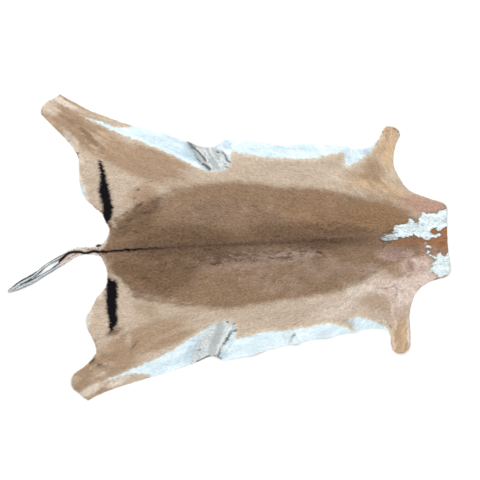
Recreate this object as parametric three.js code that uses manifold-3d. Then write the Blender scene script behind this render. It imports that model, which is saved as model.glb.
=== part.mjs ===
// A tanned antelope hide with its hair on: one flat pelt with a neck, two front leg flaps and
// two hind leg flaps, and the tail, a narrow split strip of skin that ends in long locks.
//
// Millimetres, +Z up. The hide lies on z = 0 with its hair upward. +X runs from the tail to
// the neck and +Y to the animal's left side. The origin is on the floor, in the middle of the
// box round hide and tail together.

import * as THREE from "three";
import { mergeVertices } from "three/addons/utils/BufferGeometryUtils.js";
import Module from "manifold-3d";

const wasm = await Module();
wasm.setup();
const { smoothstep, lerp } = THREE.MathUtils;

// Pelt: skin with the hair that lies on it
const SKIN = 1.3;
const NAP_BACK = 2.6;
const NAP_BELLY = 1.5;
const BACK_HALF_WIDTH = 270; // from the spine to where the nap is thinnest
const RIM_WIDTH = 15; // band inside the cut edge where the nap thins out
const RIM_NAP_SHARE = 0.25;
const SPINE = { y: 8, height: 1.3, halfWidth: 34 };
const HOLLOW_SHARE = 0.75; // of a fold's height, free beneath it
const HOLLOW_START = 0.5; // a fold lower than this stays solid
const COLUMN = 15.5; // steps of the grid that carries the pelt's height
const ROW = 12.5;
const BACK_ROW = 21; // over the back, which has no folds
const BACK_BAND = 170; // half the width of that band
const HOLLOW_STEPS = 6; // across and along the space beneath a fold

// Tail: a strip that is rolled up a little along both edges
const TAIL_RIM = 1.6;
const TAIL_ROLL = 5.2; // height that the roll adds
const TAIL_ROLL_WIDTH = 8; // from the edge to the top of the roll
const TAIL_CELL = 4.5;
const SEAT = 0.3; // gap between the pelt's edge and the tail's root

const TOOL_REACH = 30; // how far a cutting solid runs past what it cuts
const CURVE_STEPS = 2; // straight steps between two points of an outline

// Cut edge of the pelt, anticlockwise from the tail. Each stretch is one smooth curve through
// its points [x, y], and starts in a corner at the end of the stretch before it.
const PELT_EDGE = [
  { name: "seat of the tail", points: [[-364, -24]] },
  {
    name: "right rump",
    points: [
      [-353, -32], [-346, -48], [-340, -66], [-339, -85], [-342, -106], [-352, -122],
      [-368, -140], [-377, -158], [-389, -180], [-397, -195], [-398, -211], [-393, -232],
      [-382, -251], [-374, -272], [-369, -284],
    ],
  },
  {
    name: "right hind leg",
    points: [
      [-371, -295], [-379, -308], [-402, -330], [-423, -344], [-437, -356], [-441, -366],
      [-441, -380], [-437, -393], [-425, -405], [-410, -419], [-394, -430],
    ],
  },
  {
    name: "right groin",
    points: [
      [-369, -416], [-321, -396], [-271, -380], [-213, -363], [-148, -343], [-98, -326],
      [-55, -307], [-34, -304],
    ],
  },
  { name: "right groin pleat", points: [[-25, -309], [-17, -318]] },
  {
    name: "right belly",
    points: [
      [17, -314], [46, -308], [111, -289], [171, -274], [192, -272], [226, -261], [282, -252],
      [346, -239], [389, -229], [413, -227], [430, -230], [444, -238], [451, -249],
    ],
  },
  {
    name: "right front leg",
    points: [
      [453, -278], [460, -290], [475, -297], [492, -294], [506, -283], [509, -268], [508, -224],
      [506, -195], [510, -166], [522, -131], [545, -107], [571, -94], [602, -86],
    ],
  },
  {
    name: "neck and left front leg",
    points: [
      [615, -76], [620, -50], [615, -10], [612, 40], [612, 78], [609, 112], [599, 125],
      [573, 133], [542, 144], [504, 160], [479, 193], [463, 225], [461, 249], [465, 277],
      [472, 299], [479, 312], [477, 322], [466, 333], [445, 338], [433, 333], [424, 315],
      [412, 298], [400, 285], [387, 276],
    ],
  },
  {
    name: "left belly",
    points: [
      [354, 275], [322, 282], [289, 286], [243, 289], [196, 288], [141, 284], [103, 293],
      [57, 298], [6, 301], [-14, 302],
    ],
  },
  {
    name: "left groin",
    points: [
      [-31, 287], [-51, 280], [-83, 284], [-114, 296], [-142, 307], [-189, 323], [-268, 341],
      [-303, 351], [-354, 370], [-387, 382], [-418, 399], [-460, 422], [-471, 430],
    ],
  },
  {
    name: "left hind leg and rump",
    points: [
      [-485, 420], [-509, 407], [-519, 397], [-526, 382], [-526, 371], [-514, 358], [-495, 338],
      [-466, 311], [-437, 276], [-422, 253], [-418, 234], [-417, 207], [-415, 181], [-410, 154],
      [-395, 129], [-383, 120], [-372, 109], [-360, 100], [-351, 90], [-347, 76], [-333, 53],
    ],
  },
  { name: "left of the tail", points: [[-335, 42], [-343, 22], [-355, 9], [-368, 4]] },
];

// Raised folds. Each is a ridge of the sheet, hollow beneath, that has its full height at
// from, keeps it over the share keep of its length and has sunk to the floor at to.
const FOLDS = [
  { name: "left groin pleat", from: [-112, 298], to: [-48, 212], half: 19, height: 7, keep: 0.6 },
  { name: "left groin lip", from: [-36, 268], to: [8, 228], half: 17, height: 4, keep: 0.5 },
  { name: "right groin pleat", from: [-34, -305], to: [24, -220], half: 19, height: 8, keep: 0.6 },
  { name: "right belly crease", from: [188, -274], to: [158, -214], half: 17, height: 5, keep: 0.4 },
  { name: "left armpit crease", from: [324, 282], to: [330, 215], half: 17, height: 5, keep: 0.4 },
  { name: "right armpit crease", from: [348, -240], to: [354, -180], half: 18, height: 4, keep: 0.4 },
  { name: "left belly wave behind", from: [62, 300], to: [78, 225], half: 36, height: 5, keep: 0.1 },
  { name: "left belly wave in front", from: [226, 290], to: [216, 220], half: 40, height: 4, keep: 0.1 },
  { name: "right belly wave behind", from: [72, -302], to: [84, -232], half: 38, height: 5, keep: 0.1 },
  { name: "right belly wave in front", from: [268, -255], to: [262, -195], half: 36, height: 4, keep: 0.1 },
  { name: "left hock", from: [-470, 318], to: [-420, 352], half: 34, height: 5, keep: 0.1 },
  { name: "left hind leg end", from: [-527, 392], to: [-468, 374], half: 30, height: 6, keep: 0.1 },
  { name: "right hind leg end", from: [-440, -384], to: [-384, -372], half: 30, height: 6, keep: 0.1 },
  { name: "right hock", from: [-382, -310], to: [-300, -352], half: 20, height: 4, keep: 0.3 },
  { name: "left rump lobe", from: [-418, 200], to: [-372, 192], half: 44, height: 4, keep: 0.1 },
  { name: "right rump lobe", from: [-399, -206], to: [-350, -204], half: 44, height: 4, keep: 0.1 },
  { name: "left front leg end", from: [468, 334], to: [446, 280], half: 24, height: 5, keep: 0.1 },
  { name: "right front leg end", from: [484, -297], to: [480, -236], half: 26, height: 5, keep: 0.1 },
  { name: "left neck corner", from: [612, 118], to: [556, 92], half: 32, height: 5, keep: 0.1 },
  { name: "right neck corner", from: [620, -66], to: [566, -48], half: 34, height: 4, keep: 0.1 },
];

// Bare skin in the groins, where no hair adds to the thickness.
const BARE = [
  { name: "left groin", at: [-48, 256], radii: [52, 40] },
  { name: "right groin", at: [-38, -266], radii: [42, 52] },
];

// Slow swells of the hair over the whole pelt.
const SWELLS = [
  { height: 0.3, lengthX: 270, lengthY: 190, start: 0.6 },
  { height: 0.2, lengthX: 118, lengthY: 143, start: 2.1 },
];

// Edge of the tail's strip, from the left of its root round to the right of it.
const TAIL_EDGE = [
  { name: "root", points: [[-368 - SEAT, 4]] },
  {
    name: "left edge",
    points: [
      [-377, 1], [-392, -1], [-411, 1], [-428, -1], [-445, -6], [-460, -16],
      [-471, -24], [-492, -36], [-510, -45], [-527, -58], [-545, -72],
    ],
  },
  { name: "end under the locks", points: [[-553, -83], [-556, -95], [-549, -100]] },
  {
    name: "right edge",
    points: [
      [-535, -92], [-522, -85], [-505, -74], [-488, -64], [-474, -55], [-460, -44], [-441, -34],
      [-424, -25], [-402, -19], [-385, -19], [-364 - SEAT, -24],
    ],
  },
];

// Slit where the strip has parted into two strands.
const TAIL_SLIT = [
  [-474, -38], [-488, -43], [-505, -51], [-522, -65], [-531, -75], [-514, -65], [-497, -54],
  [-484, -46],
];

// End locks, side by side from the tail's left to its right, and all led into its tip.
const BRUSH = {
  root: [-527, -75],
  middle: [-572, -103],
  tip: [-619.5, -125.5],
  rootSpread: 9.5, // half the width of the row, at its roots
  middleSpread: 9,
  tipSpread: 2,
  width: 5.4,
  height: 5.5,
  lengths: [0.72, 0.9, 0.8, 1, 0.92, 1, 0.84, 0.94, 0.7], // of each lock, as a share of the way
};

// Loose wisps along the strip, each from its root over its bend to its tip.
const WISPS = [
  { name: "tuft at the root", root: [-390, -5], bend: [-382, 3], tip: [-372, 7] },
  { name: "left of the bend", root: [-436, -10], bend: [-452, -12], tip: [-468, -17] },
  { name: "left strand", root: [-486, -39], bend: [-506, -47], tip: [-526, -54] },
  { name: "left end", root: [-532, -70], bend: [-552, -80], tip: [-575, -88] },
  { name: "right of the bend", root: [-446, -30], bend: [-462, -42], tip: [-481, -57] },
  { name: "right strand", root: [-490, -58], bend: [-507, -71], tip: [-528, -84] },
  { name: "right end", root: [-534, -86], bend: [-556, -99], tip: [-580, -114] },
];
const WISP_WIDTH = 5;
const WISP_HEIGHT = 4;
const LOCK_STEPS = 6; // along one lock
const LOCK_TOP_SHARE = 0.55; // of a lock's width, at its top
const LOCK_TIP_SHARE = 0.2; // of a lock's width and height, at its tip

// Materials
const peltHair = new THREE.MeshStandardMaterial({ color: 0xa98567, roughness: 0.85, metalness: 0 });
const tailHair = new THREE.MeshStandardMaterial({ color: 0xbfbab2, roughness: 0.7, metalness: 0 });

// A closed geometry as a solid that can be joined and cut.
function solidOf(geometry) {
  const bare = geometry.clone();
  bare.deleteAttribute("normal");
  bare.deleteAttribute("uv");
  const merged = mergeVertices(bare, 1e-4);
  return new wasm.Manifold(new wasm.Mesh({
    numProp: 3,
    vertProperties: new Float32Array(merged.attributes.position.array),
    triVerts: new Uint32Array(merged.index.array),
  }));
}

// A solid as a named mesh.
function meshOf(name, solid, material) {
  const { numProp, vertProperties, triVerts } = solid.getMesh();
  const geometry = new THREE.BufferGeometry();
  geometry.setAttribute("position", new THREE.BufferAttribute(vertProperties, numProp));
  geometry.setIndex(new THREE.BufferAttribute(triVerts, 1));
  geometry.computeVertexNormals();
  const mesh = new THREE.Mesh(geometry, material);
  mesh.name = name;
  return mesh;
}

// A closed outline whose stretches are curves that meet in corners.
function outlineOf(stretches) {
  const end = stretches.at(-1).points.at(-1);
  const shape = new THREE.Shape();
  shape.moveTo(...end);
  for (const { points } of stretches) {
    shape.splineThru(points.map(([x, y]) => new THREE.Vector2(x, y)));
  }
  return shape;
}

// The upright prism that stands on the floor inside an outline.
function prismOf(shape) {
  return solidOf(new THREE.ExtrudeGeometry(shape, {
    depth: TOOL_REACH,
    bevelEnabled: false,
    curveSegments: CURVE_STEPS,
  }));
}

// Distance from a point to the nearest of some closed loops.
function distanceTo(loops, x, y) {
  let nearest = Infinity;
  for (const loop of loops) {
    for (let i = 0; i < loop.length; i += 1) {
      const a = loop[i];
      const b = loop[(i + 1) % loop.length];
      const sx = b.x - a.x;
      const sy = b.y - a.y;
      const squared = sx * sx + sy * sy;
      const share = squared ? ((x - a.x) * sx + (y - a.y) * sy) / squared : 0;
      const t = THREE.MathUtils.clamp(share, 0, 1);
      nearest = Math.min(nearest, Math.hypot(x - a.x - t * sx, y - a.y - t * sy));
    }
  }
  return nearest;
}

// Whether a point is inside a closed loop.
function isInside(loop, x, y) {
  let inside = false;
  for (let i = 0; i < loop.length; i += 1) {
    const a = loop[i];
    const b = loop[(i + 1) % loop.length];
    const crosses = (a.y > y) !== (b.y > y);
    if (crosses && x < a.x + ((y - a.y) * (b.x - a.x)) / (b.y - a.y)) {
      inside = !inside;
    }
  }
  return inside;
}

// Grid lines from low to high, at the step that a function gives for each place.
function gridLines(low, high, stepAt) {
  const lines = [low];
  while (lines.at(-1) + stepAt(lines.at(-1)) < high) {
    lines.push(lines.at(-1) + stepAt(lines.at(-1)));
  }
  return [...lines, high];
}

// A block on a grid, with a flat base below the floor and the top that a function gives.
function blockSolid(columns, rows, pointAt) {
  const geometry = new THREE.BoxGeometry(1, 1, 1, columns.length - 1, rows.length - 1, 1);
  const points = geometry.attributes.position;
  for (let i = 0; i < points.count; i += 1) {
    const column = columns[Math.round((points.getX(i) + 0.5) * (columns.length - 1))];
    const row = rows[Math.round((points.getY(i) + 0.5) * (rows.length - 1))];
    const [x, y, top] = pointAt(column, row);
    points.setXYZ(i, x, y, points.getZ(i) > 0 ? top : -TOOL_REACH);
  }
  return solidOf(geometry);
}

// Height of one fold's ridge over a point.
function foldLift({ from, to, half, height, keep }, x, y) {
  const dx = to[0] - from[0];
  const dy = to[1] - from[1];
  const length = Math.hypot(dx, dy);
  const along = ((x - from[0]) * dx + (y - from[1]) * dy) / length;
  const across = Math.abs((x - from[0]) * dy - (y - from[1]) * dx) / length;
  const bell = across < half ? (1 + Math.cos((Math.PI * across) / half)) / 2 : 0;
  return height * bell * (1 - smoothstep(along, keep * length, length));
}

// How far the folds lift the pelt over a point.
function peltLift(x, y) {
  return FOLDS.reduce((lift, fold) => lift + foldLift(fold, x, y), 0);
}

// The free space beneath one fold, from the floor up.
function foldHollow(fold) {
  const from = new THREE.Vector2(...fold.from);
  const heading = new THREE.Vector2(...fold.to).sub(from);
  const length = heading.length();
  heading.normalize();
  const alongs = gridLines(-fold.half, length, () => length / HOLLOW_STEPS);
  const acrosses = gridLines(-fold.half, fold.half, () => (2 * fold.half) / HOLLOW_STEPS);
  return blockSolid(alongs, acrosses, (along, across) => {
    const x = from.x + heading.x * along - heading.y * across;
    const y = from.y + heading.y * along + heading.x * across;
    return [x, y, HOLLOW_SHARE * foldLift(fold, x, y) - HOLLOW_START];
  });
}

// Thickness of skin and nap together.
function peltThickness(edge, x, y) {
  const fromSpine = smoothstep(Math.abs(y - SPINE.y), 0, BACK_HALF_WIDTH);
  const swell = SWELLS.reduce((sum, { height, lengthX, lengthY, start }) => {
    const waveX = Math.sin((2 * Math.PI * x) / lengthX + start);
    const waveY = Math.sin((2 * Math.PI * y) / lengthY + start);
    return sum + height * waveX * waveY;
  }, 0);
  const ridge = SPINE.height * Math.exp(-(((y - SPINE.y) / SPINE.halfWidth) ** 2));
  const haired = BARE.reduce((share, { at, radii }) => {
    const off = Math.hypot((x - at[0]) / radii[0], (y - at[1]) / radii[1]);
    return share * smoothstep(off, 0.7, 1);
  }, 1);
  const inward = isInside(edge, x, y) ? distanceTo([edge], x, y) : 0;
  const rim = lerp(RIM_NAP_SHARE, 1, smoothstep(inward, 0, RIM_WIDTH));
  return SKIN + (lerp(NAP_BACK, NAP_BELLY, fromSpine) + swell + ridge) * haired * rim;
}

// One lock: a four-sided sliver that lies flat on the floor from its root to its tip.
function lockSolid({ root, bend, tip, width = WISP_WIDTH, height = WISP_HEIGHT }) {
  const [from, over, to] = [root, bend, tip].map(([x, y]) => new THREE.Vector2(x, y));
  const route = new THREE.QuadraticBezierCurve(from, over, to);
  const geometry = new THREE.BoxGeometry(1, 1, 1, LOCK_STEPS, 1, 1);
  const points = geometry.attributes.position;
  for (let i = 0; i < points.count; i += 1) {
    const along = points.getX(i) + 0.5;
    const isTop = points.getZ(i) > 0;
    const at = route.getPoint(along);
    const heading = route.getTangent(along);
    const taper = lerp(1, LOCK_TIP_SHARE, along ** 2);
    const side = points.getY(i) * width * taper * (isTop ? LOCK_TOP_SHARE : 1);
    points.setXYZ(i, at.x - heading.y * side, at.y + heading.x * side, isTop ? height * taper : 0);
  }
  return solidOf(geometry);
}

// The locks of the tail's end, as rows for lockSolid.
function brushLocks() {
  const points = [BRUSH.root, BRUSH.middle, BRUSH.tip];
  const [root, middle, tip] = points.map(([x, y]) => new THREE.Vector2(x, y));
  const heading = tip.clone().sub(root).normalize();
  const across = new THREE.Vector2(heading.y, -heading.x);
  return BRUSH.lengths.map((share, i) => {
    const place = (2 * i) / (BRUSH.lengths.length - 1) - 1;
    const offset = (spread) => across.clone().multiplyScalar(-place * spread);
    const spine = new THREE.QuadraticBezierCurve(
      root.clone().add(offset(BRUSH.rootSpread)),
      middle.clone().add(offset(BRUSH.middleSpread)),
      tip.clone().add(offset(BRUSH.tipSpread)),
    );
    return {
      root: spine.getPoint(0).toArray(),
      bend: spine.getPoint(share / 2).toArray(),
      tip: spine.getPoint(share).toArray(),
      width: BRUSH.width,
      height: BRUSH.height,
    };
  });
}

function makePelt() {
  const outline = outlineOf(PELT_EDGE);
  const edge = outline.getPoints(CURVE_STEPS);
  const { min, max } = new THREE.Box2().setFromPoints(edge).expandByScalar(ROW);
  const columns = gridLines(min.x, max.x, () => COLUMN);
  const rows = gridLines(min.y, max.y, (y) => (Math.abs(y) < BACK_BAND ? BACK_ROW : ROW));
  const block = blockSolid(columns, rows, (x, y) => (
    [x, y, peltLift(x, y) + peltThickness(edge, x, y)]
  ));
  const whole = prismOf(outline).intersect(block);
  const pelt = FOLDS.map(foldHollow).reduce((rest, hollow) => rest.subtract(hollow), whole);
  return meshOf("hide", pelt, peltHair);
}

function makeTail() {
  const outline = outlineOf(TAIL_EDGE);
  const slit = new THREE.Path(TAIL_SLIT.map(([x, y]) => new THREE.Vector2(x, y)));
  outline.holes.push(slit);
  const edge = outline.getPoints(CURVE_STEPS);
  const loops = [edge, slit.getPoints()];
  const { min, max } = new THREE.Box2().setFromPoints(edge).expandByScalar(TAIL_CELL);
  const columns = gridLines(min.x, max.x, () => TAIL_CELL);
  const rows = gridLines(min.y, max.y, () => TAIL_CELL);
  const block = blockSolid(columns, rows, (x, y) => {
    const inward = isInside(edge, x, y) ? distanceTo(loops, x, y) : 0;
    const climb = 1 - Math.min(inward / TAIL_ROLL_WIDTH, 1);
    return [x, y, TAIL_RIM + TAIL_ROLL * Math.sqrt(1 - climb * climb)];
  });
  const strip = prismOf(outline).intersect(block);
  const locks = [...brushLocks(), ...WISPS].map(lockSolid);
  return meshOf("tail", locks.reduce((joined, lock) => joined.add(lock), strip), tailHair);
}

const hide = new THREE.Group();
hide.add(makePelt(), makeTail());

export default hide;
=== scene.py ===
# A tanned antelope hide with its short hair on, laid flat with the hair side up, and its tail.
#
# The tables are in millimetres, as in the part's source: x runs from the tail to the neck, y to
# the animal's left side. What is built from them is in metres, in the frame of the CAD model.

import math

import bmesh
import bpy
import numpy as np
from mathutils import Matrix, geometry, kdtree


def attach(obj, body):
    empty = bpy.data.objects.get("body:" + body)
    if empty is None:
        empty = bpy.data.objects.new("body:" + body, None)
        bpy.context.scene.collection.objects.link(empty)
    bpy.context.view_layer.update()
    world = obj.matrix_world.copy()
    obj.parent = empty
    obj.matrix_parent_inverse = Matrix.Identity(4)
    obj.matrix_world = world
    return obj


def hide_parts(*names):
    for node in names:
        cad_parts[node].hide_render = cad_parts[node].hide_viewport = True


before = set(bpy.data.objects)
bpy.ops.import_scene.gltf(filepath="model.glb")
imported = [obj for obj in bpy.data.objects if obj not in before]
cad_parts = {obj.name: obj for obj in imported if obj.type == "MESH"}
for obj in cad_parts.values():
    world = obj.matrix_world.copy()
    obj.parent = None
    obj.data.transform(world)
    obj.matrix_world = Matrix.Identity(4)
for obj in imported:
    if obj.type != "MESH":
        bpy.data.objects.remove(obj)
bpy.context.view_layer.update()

MM = 0.001
BODY = "root"

# Camera: straight above, with the neck to the right
CAMERA_PLACE = (0.0302, 0.0204, 3.733)
CAMERA_LENS = 100
SENSOR_WIDTH = 36
camera_data = bpy.data.cameras.new("camera")
camera_data.lens = CAMERA_LENS
camera_data.sensor_width = SENSOR_WIDTH
camera = bpy.data.objects.new("camera", camera_data)
camera.location = CAMERA_PLACE
bpy.context.scene.collection.objects.link(camera)
bpy.context.scene.camera = camera
bpy.context.scene.view_settings.view_transform = "Standard"

# Skin and hair, in millimetres
SKIN = 1.3
RIM_SKIN = 0.9  # the skin thins out at its cut edge
RIM_INSET = 1.2  # the skin ends this far inside the solid's edge, and the hair covers the rest
NAP_BACK = 2.6
NAP_BELLY = 1.5
BACK_HALF_WIDTH = 270
RIM_WIDTH = 15
SPINE_RIDGE = {"y": 8, "height": 1.3, "half": 34}
RIM_STEP = 3.2
TOP_STEP = 4.6
FINE_STEP = 2.3
UNDER_STEP = 10.5
GROIN_MARGIN = 8  # the finer mesh goes this far past the bare skin,
LINE_MARGIN = 5  # and this far on both sides of the edges of the stripes and the neck's marks
SEEN_SHARE = 0.62  # of a hair's length, from its root to the middle of the part that is seen
COMB_HALF = 24  # the coat's streaks are drawn out this far both ways along the hair
COMB_STEPS = 13

# Folds of the skin: from, to, half width, height, share of the length at full height
FOLDS = [
    ((-112, 298), (-48, 212), 19, 7.0, 0.6),  # left groin pleat
    ((-36, 268), (8, 228), 17, 4.0, 0.5),  # left groin lip
    ((-34, -305), (24, -220), 19, 8.0, 0.6),  # right groin pleat
    ((188, -274), (158, -214), 17, 5.0, 0.4),  # right belly crease
    ((324, 282), (330, 215), 17, 5.0, 0.4),  # left armpit crease
    ((348, -240), (354, -180), 18, 4.0, 0.4),  # right armpit crease
    ((62, 300), (78, 225), 36, 5.0, 0.1),  # waves along the belly's edges
    ((226, 290), (216, 220), 40, 4.0, 0.1),
    ((72, -302), (84, -232), 38, 5.0, 0.1),
    ((268, -255), (262, -195), 36, 4.0, 0.1),
    ((-470, 318), (-420, 352), 34, 5.0, 0.1),  # left hock
    ((-527, 392), (-468, 374), 30, 6.0, 0.1),  # left hind leg's end
    ((-440, -384), (-384, -372), 30, 6.0, 0.1),  # right hind leg's end
    ((-382, -310), (-300, -352), 20, 4.0, 0.3),  # right hock
    ((-418, 200), (-372, 192), 44, 4.0, 0.1),  # rump lobes
    ((-399, -206), (-350, -204), 44, 4.0, 0.1),
    ((468, 334), (446, 280), 24, 5.0, 0.1),  # front legs' ends
    ((484, -297), (480, -236), 26, 5.0, 0.1),
    ((612, 118), (556, 92), 32, 5.0, 0.1),  # neck corners
    ((620, -66), (566, -48), 34, 4.0, 0.1),
]

# Finer wrinkles of the bare skin in the groins: from, to, half width, height
WRINKLES = [
    ((-100, 288), (-52, 222), 5, 1.1),
    ((-84, 284), (-36, 214), 4, 0.9),
    ((-70, 282), (-22, 218), 5, 1.2),
    ((-56, 280), (-14, 226), 4, 0.8),
    ((-42, 272), (-6, 230), 4, 1.0),
    ((-60, 262), (-38, 236), 3, 0.7),
    ((-86, -306), (-50, -232), 5, 1.0),
    ((-70, -312), (-34, -226), 4, 0.8),
    ((-52, -306), (-18, -222), 5, 1.1),
    ((-36, -298), (-4, -216), 4, 0.9),
    ((-24, -280), (6, -220), 4, 0.9),
]

# Ovals in the groins where the hair is thin: middle and radii
BARE_OVALS = [((-48, 256), (52, 40)), ((-46, -264), (46, 54))]

# Black stripes on the rump
STRIPES = [
    [
        (-364, 243), (-361, 214), (-361, 176), (-364, 156), (-359, 137), (-354, 116), (-351, 94),
        (-349, 80), (-342, 66), (-336, 74), (-329, 86), (-330, 99), (-326, 109), (-330, 123),
        (-333, 137), (-336, 156), (-339, 173), (-344, 187), (-349, 204), (-352, 223),
    ],
    [(-337, 62), (-334, 63), (-332, 60), (-334, 56), (-337, 58)],
    [
        (-339, -86), (-329, -89), (-318, -96), (-312, -126), (-315, -149), (-315, -171),
        (-315, -188), (-313, -205), (-320, -223), (-328, -235), (-332, -237), (-335, -215),
        (-337, -194), (-341, -178), (-342, -160), (-344, -142), (-343, -122), (-341, -103),
    ],
]

# White belly along both sides, closed outside the cut edge
BELLY = [
    [
        (-404, 364), (-374, 349), (-323, 325), (-276, 306), (-224, 286), (-173, 264), (-126, 241),
        (-87, 221), (-52, 211), (-16, 221), (-1, 237), (5, 264), (14, 268), (29, 263), (71, 256),
        (127, 250), (215, 248), (252, 252), (289, 261), (319, 266), (322, 245), (328, 227),
        (363, 243), (382, 257), (407, 284), (420, 330), (300, 345), (0, 350), (-180, 345),
        (-262, 365), (-270, 344), (-280, 335), (-302, 334), (-322, 338), (-343, 346), (-385, 360),
    ],
    [
        (-365, -382), (-312, -357), (-271, -339), (-217, -318), (-168, -291), (-127, -267),
        (-94, -246), (-66, -226), (-29, -209), (8, -209), (17, -228), (18, -256), (37, -253),
        (89, -239), (171, -231), (214, -225), (269, -213), (304, -218), (346, -233),
        (352, -262), (200, -320), (0, -350), (-180, -400), (-210, -375), (-218, -363),
        (-244, -353), (-278, -355), (-316, -365),
    ],
    [
        (346, -233), (353, -196), (372, -197), (402, -206), (432, -220), (449, -237), (440, -262),
        (400, -254), (360, -256),
    ],
]

# Bare skin in the groins
BARE = [
    [
        (-116, 299), (-106, 278), (-93, 262), (-83, 248), (-75, 232), (-60, 216), (-44, 213),
        (-18, 216), (-2, 222), (3, 237), (-6, 254), (-14, 266), (-32, 269), (-36, 290), (-62, 304),
    ],
    [
        (-104, -332), (-100, -292), (-86, -262), (-71, -238), (-56, -221), (-34, -208), (-6, -206),
        (14, -212), (17, -231), (3, -243), (-5, -256), (-16, -269), (-26, -279), (-28, -291),
        (-32, -302), (-40, -322),
    ],
]

# Painted fold shade, painted shadow lines with a few dark cracks and spots, and painted highlights
# along the ridges of the bare skin: kind, line, half width
SHADE, SHADOW_AND_CRACK, LIT_RIDGE = range(3)
GROIN_LINES = [
    (SHADE, [(-112, 299), (-105, 281), (-91, 268), (-80, 256), (-70, 245)], 12),
    (SHADE, [(-92, 262), (-84, 246), (-72, 232), (-58, 222)], 10),
    (SHADOW_AND_CRACK, [(-113, 298), (-108, 288), (-103, 280)], 5),
    (SHADOW_AND_CRACK, [(-106, 284), (-95, 275), (-83, 264), (-73, 252), (-66, 242)], 3.6),
    (SHADOW_AND_CRACK, [(-73, 232), (-63, 226), (-54, 219)], 5),
    (SHADOW_AND_CRACK, [(-89, 247), (-80, 240)], 2),
    (LIT_RIDGE, [(-90, 277), (-79, 268), (-72, 258)], 3),
    (LIT_RIDGE, [(-65, 252), (-57, 236), (-48, 222)], 2.6),
    (SHADE, [(-62, 276), (-54, 258), (-44, 244), (-34, 232)], 4),
    (SHADE, [(-56, 244), (-44, 232), (-32, 222)], 5),
    (SHADE, [(-48, 278), (-38, 262), (-28, 246)], 3),
    (SHADE, [(-34, 270), (-24, 266), (-16, 262)], 5),
    (SHADOW_AND_CRACK, [(-34, 267), (-30, 265)], 3),
    (SHADOW_AND_CRACK, [(-18, 266), (-11, 255), (-6, 246), (2, 236)], 1.8),
    (SHADOW_AND_CRACK, [(-9, 247), (-4, 242), (1, 238)], 3.4),
    (SHADOW_AND_CRACK, [(-14, 234), (-8, 232)], 1.8),
    (SHADOW_AND_CRACK, [(-12, 228), (-4, 224)], 1.6),
    (LIT_RIDGE, [(-14, 231), (-4, 227)], 2.4),
    (SHADE, [(-24, -222), (-32, -242), (-41, -262), (-47, -282), (-46, -302)], 13),
    (SHADE, [(-34, -256), (-42, -274), (-48, -300)], 8),
    (SHADOW_AND_CRACK, [(18, -231), (10, -238), (2, -244)], 2.6),
    (SHADOW_AND_CRACK, [(2, -244), (-5, -256), (-16, -269), (-24, -278), (-27, -291), (-33, -301)], 3.4),
    (SHADOW_AND_CRACK, [(-35, -302), (-22, -311)], 3.4),
    (SHADOW_AND_CRACK, [(-33, -284), (-38, -303)], 4.5),
    (SHADOW_AND_CRACK, [(-92, -320), (-72, -311), (-55, -303)], 2.4),
    (SHADOW_AND_CRACK, [(-6, -209), (-2, -209)], 2.6),
    (SHADOW_AND_CRACK, [(13, -212), (17, -213)], 2.6),
    (SHADOW_AND_CRACK, [(-88, -288), (-80, -286)], 1.8),
    (LIT_RIDGE, [(6, -226), (-6, -242), (-18, -262), (-30, -284), (-36, -298)], 5),
]

# Pale and dark lines of curled hair on the right shoulder and its leg: pale or dark, line
CURLS_START = 340  # all of them lie in front of this
PALE_CURL, DARK_CURL = range(2)
CURLS = [
    (PALE_CURL, [(422, -110), (445, -108), (468, -96), (487, -87), (499, -73)]),
    (PALE_CURL, [
        (494, -127), (503, -131), (505, -139), (499, -148), (489, -149), (483, -141), (485, -131),
        (494, -127),
    ]),
    (PALE_CURL, [(464, -124), (478, -143), (473, -161), (491, -158), (510, -148)]),
    (PALE_CURL, [(445, -147), (459, -161), (454, -180)]),
    (PALE_CURL, [(422, -190), (431, -203), (450, -213)]),
    (PALE_CURL, [(515, -31), (529, -45), (548, -40), (552, -59)]),
    (PALE_CURL, [(538, -96), (552, -87), (557, -68)]),
    (PALE_CURL, [(478, -119), (492, -112), (510, -115), (522, -124)]),
    (PALE_CURL, [(454, -185), (464, -208), (468, -231)]),
    (PALE_CURL, [(499, -204), (501, -240), (501, -278)]),
    (PALE_CURL, [(460, -250), (461, -270), (463, -287)]),
    (DARK_CURL, [(412, -115), (450, -112), (464, -103)]),
    (DARK_CURL, [(501, -36), (508, -54), (514, -64)]),
    (DARK_CURL, [(366, -15), (384, -19), (398, -24)]),
    (DARK_CURL, [(436, -33), (454, -40), (459, -59), (450, -66)]),
    (DARK_CURL, [(438, -199), (449, -222), (453, -241)]),
    (DARK_CURL, [(466, -108), (471, -124), (464, -143)]),
]

# Dark saddle over the back
SADDLE = [
    [
        (-332, 60), (-278, 90), (-222, 118), (-180, 144), (-142, 164), (-87, 178), (-46, 180),
        (10, 184), (58, 181), (127, 172), (196, 167), (266, 162), (326, 150), (366, 141),
        (436, 110), (500, 84), (640, 50), (640, -10), (500, -40), (436, -66), (388, -92),
        (368, -104), (324, -117), (261, -132), (196, -141), (132, -152), (86, -160), (38, -168),
        (-7, -173), (-66, -170), (-147, -159), (-220, -145), (-278, -103), (-320, -64),
        (-400, -40), (-400, 40),
    ],
]

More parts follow.
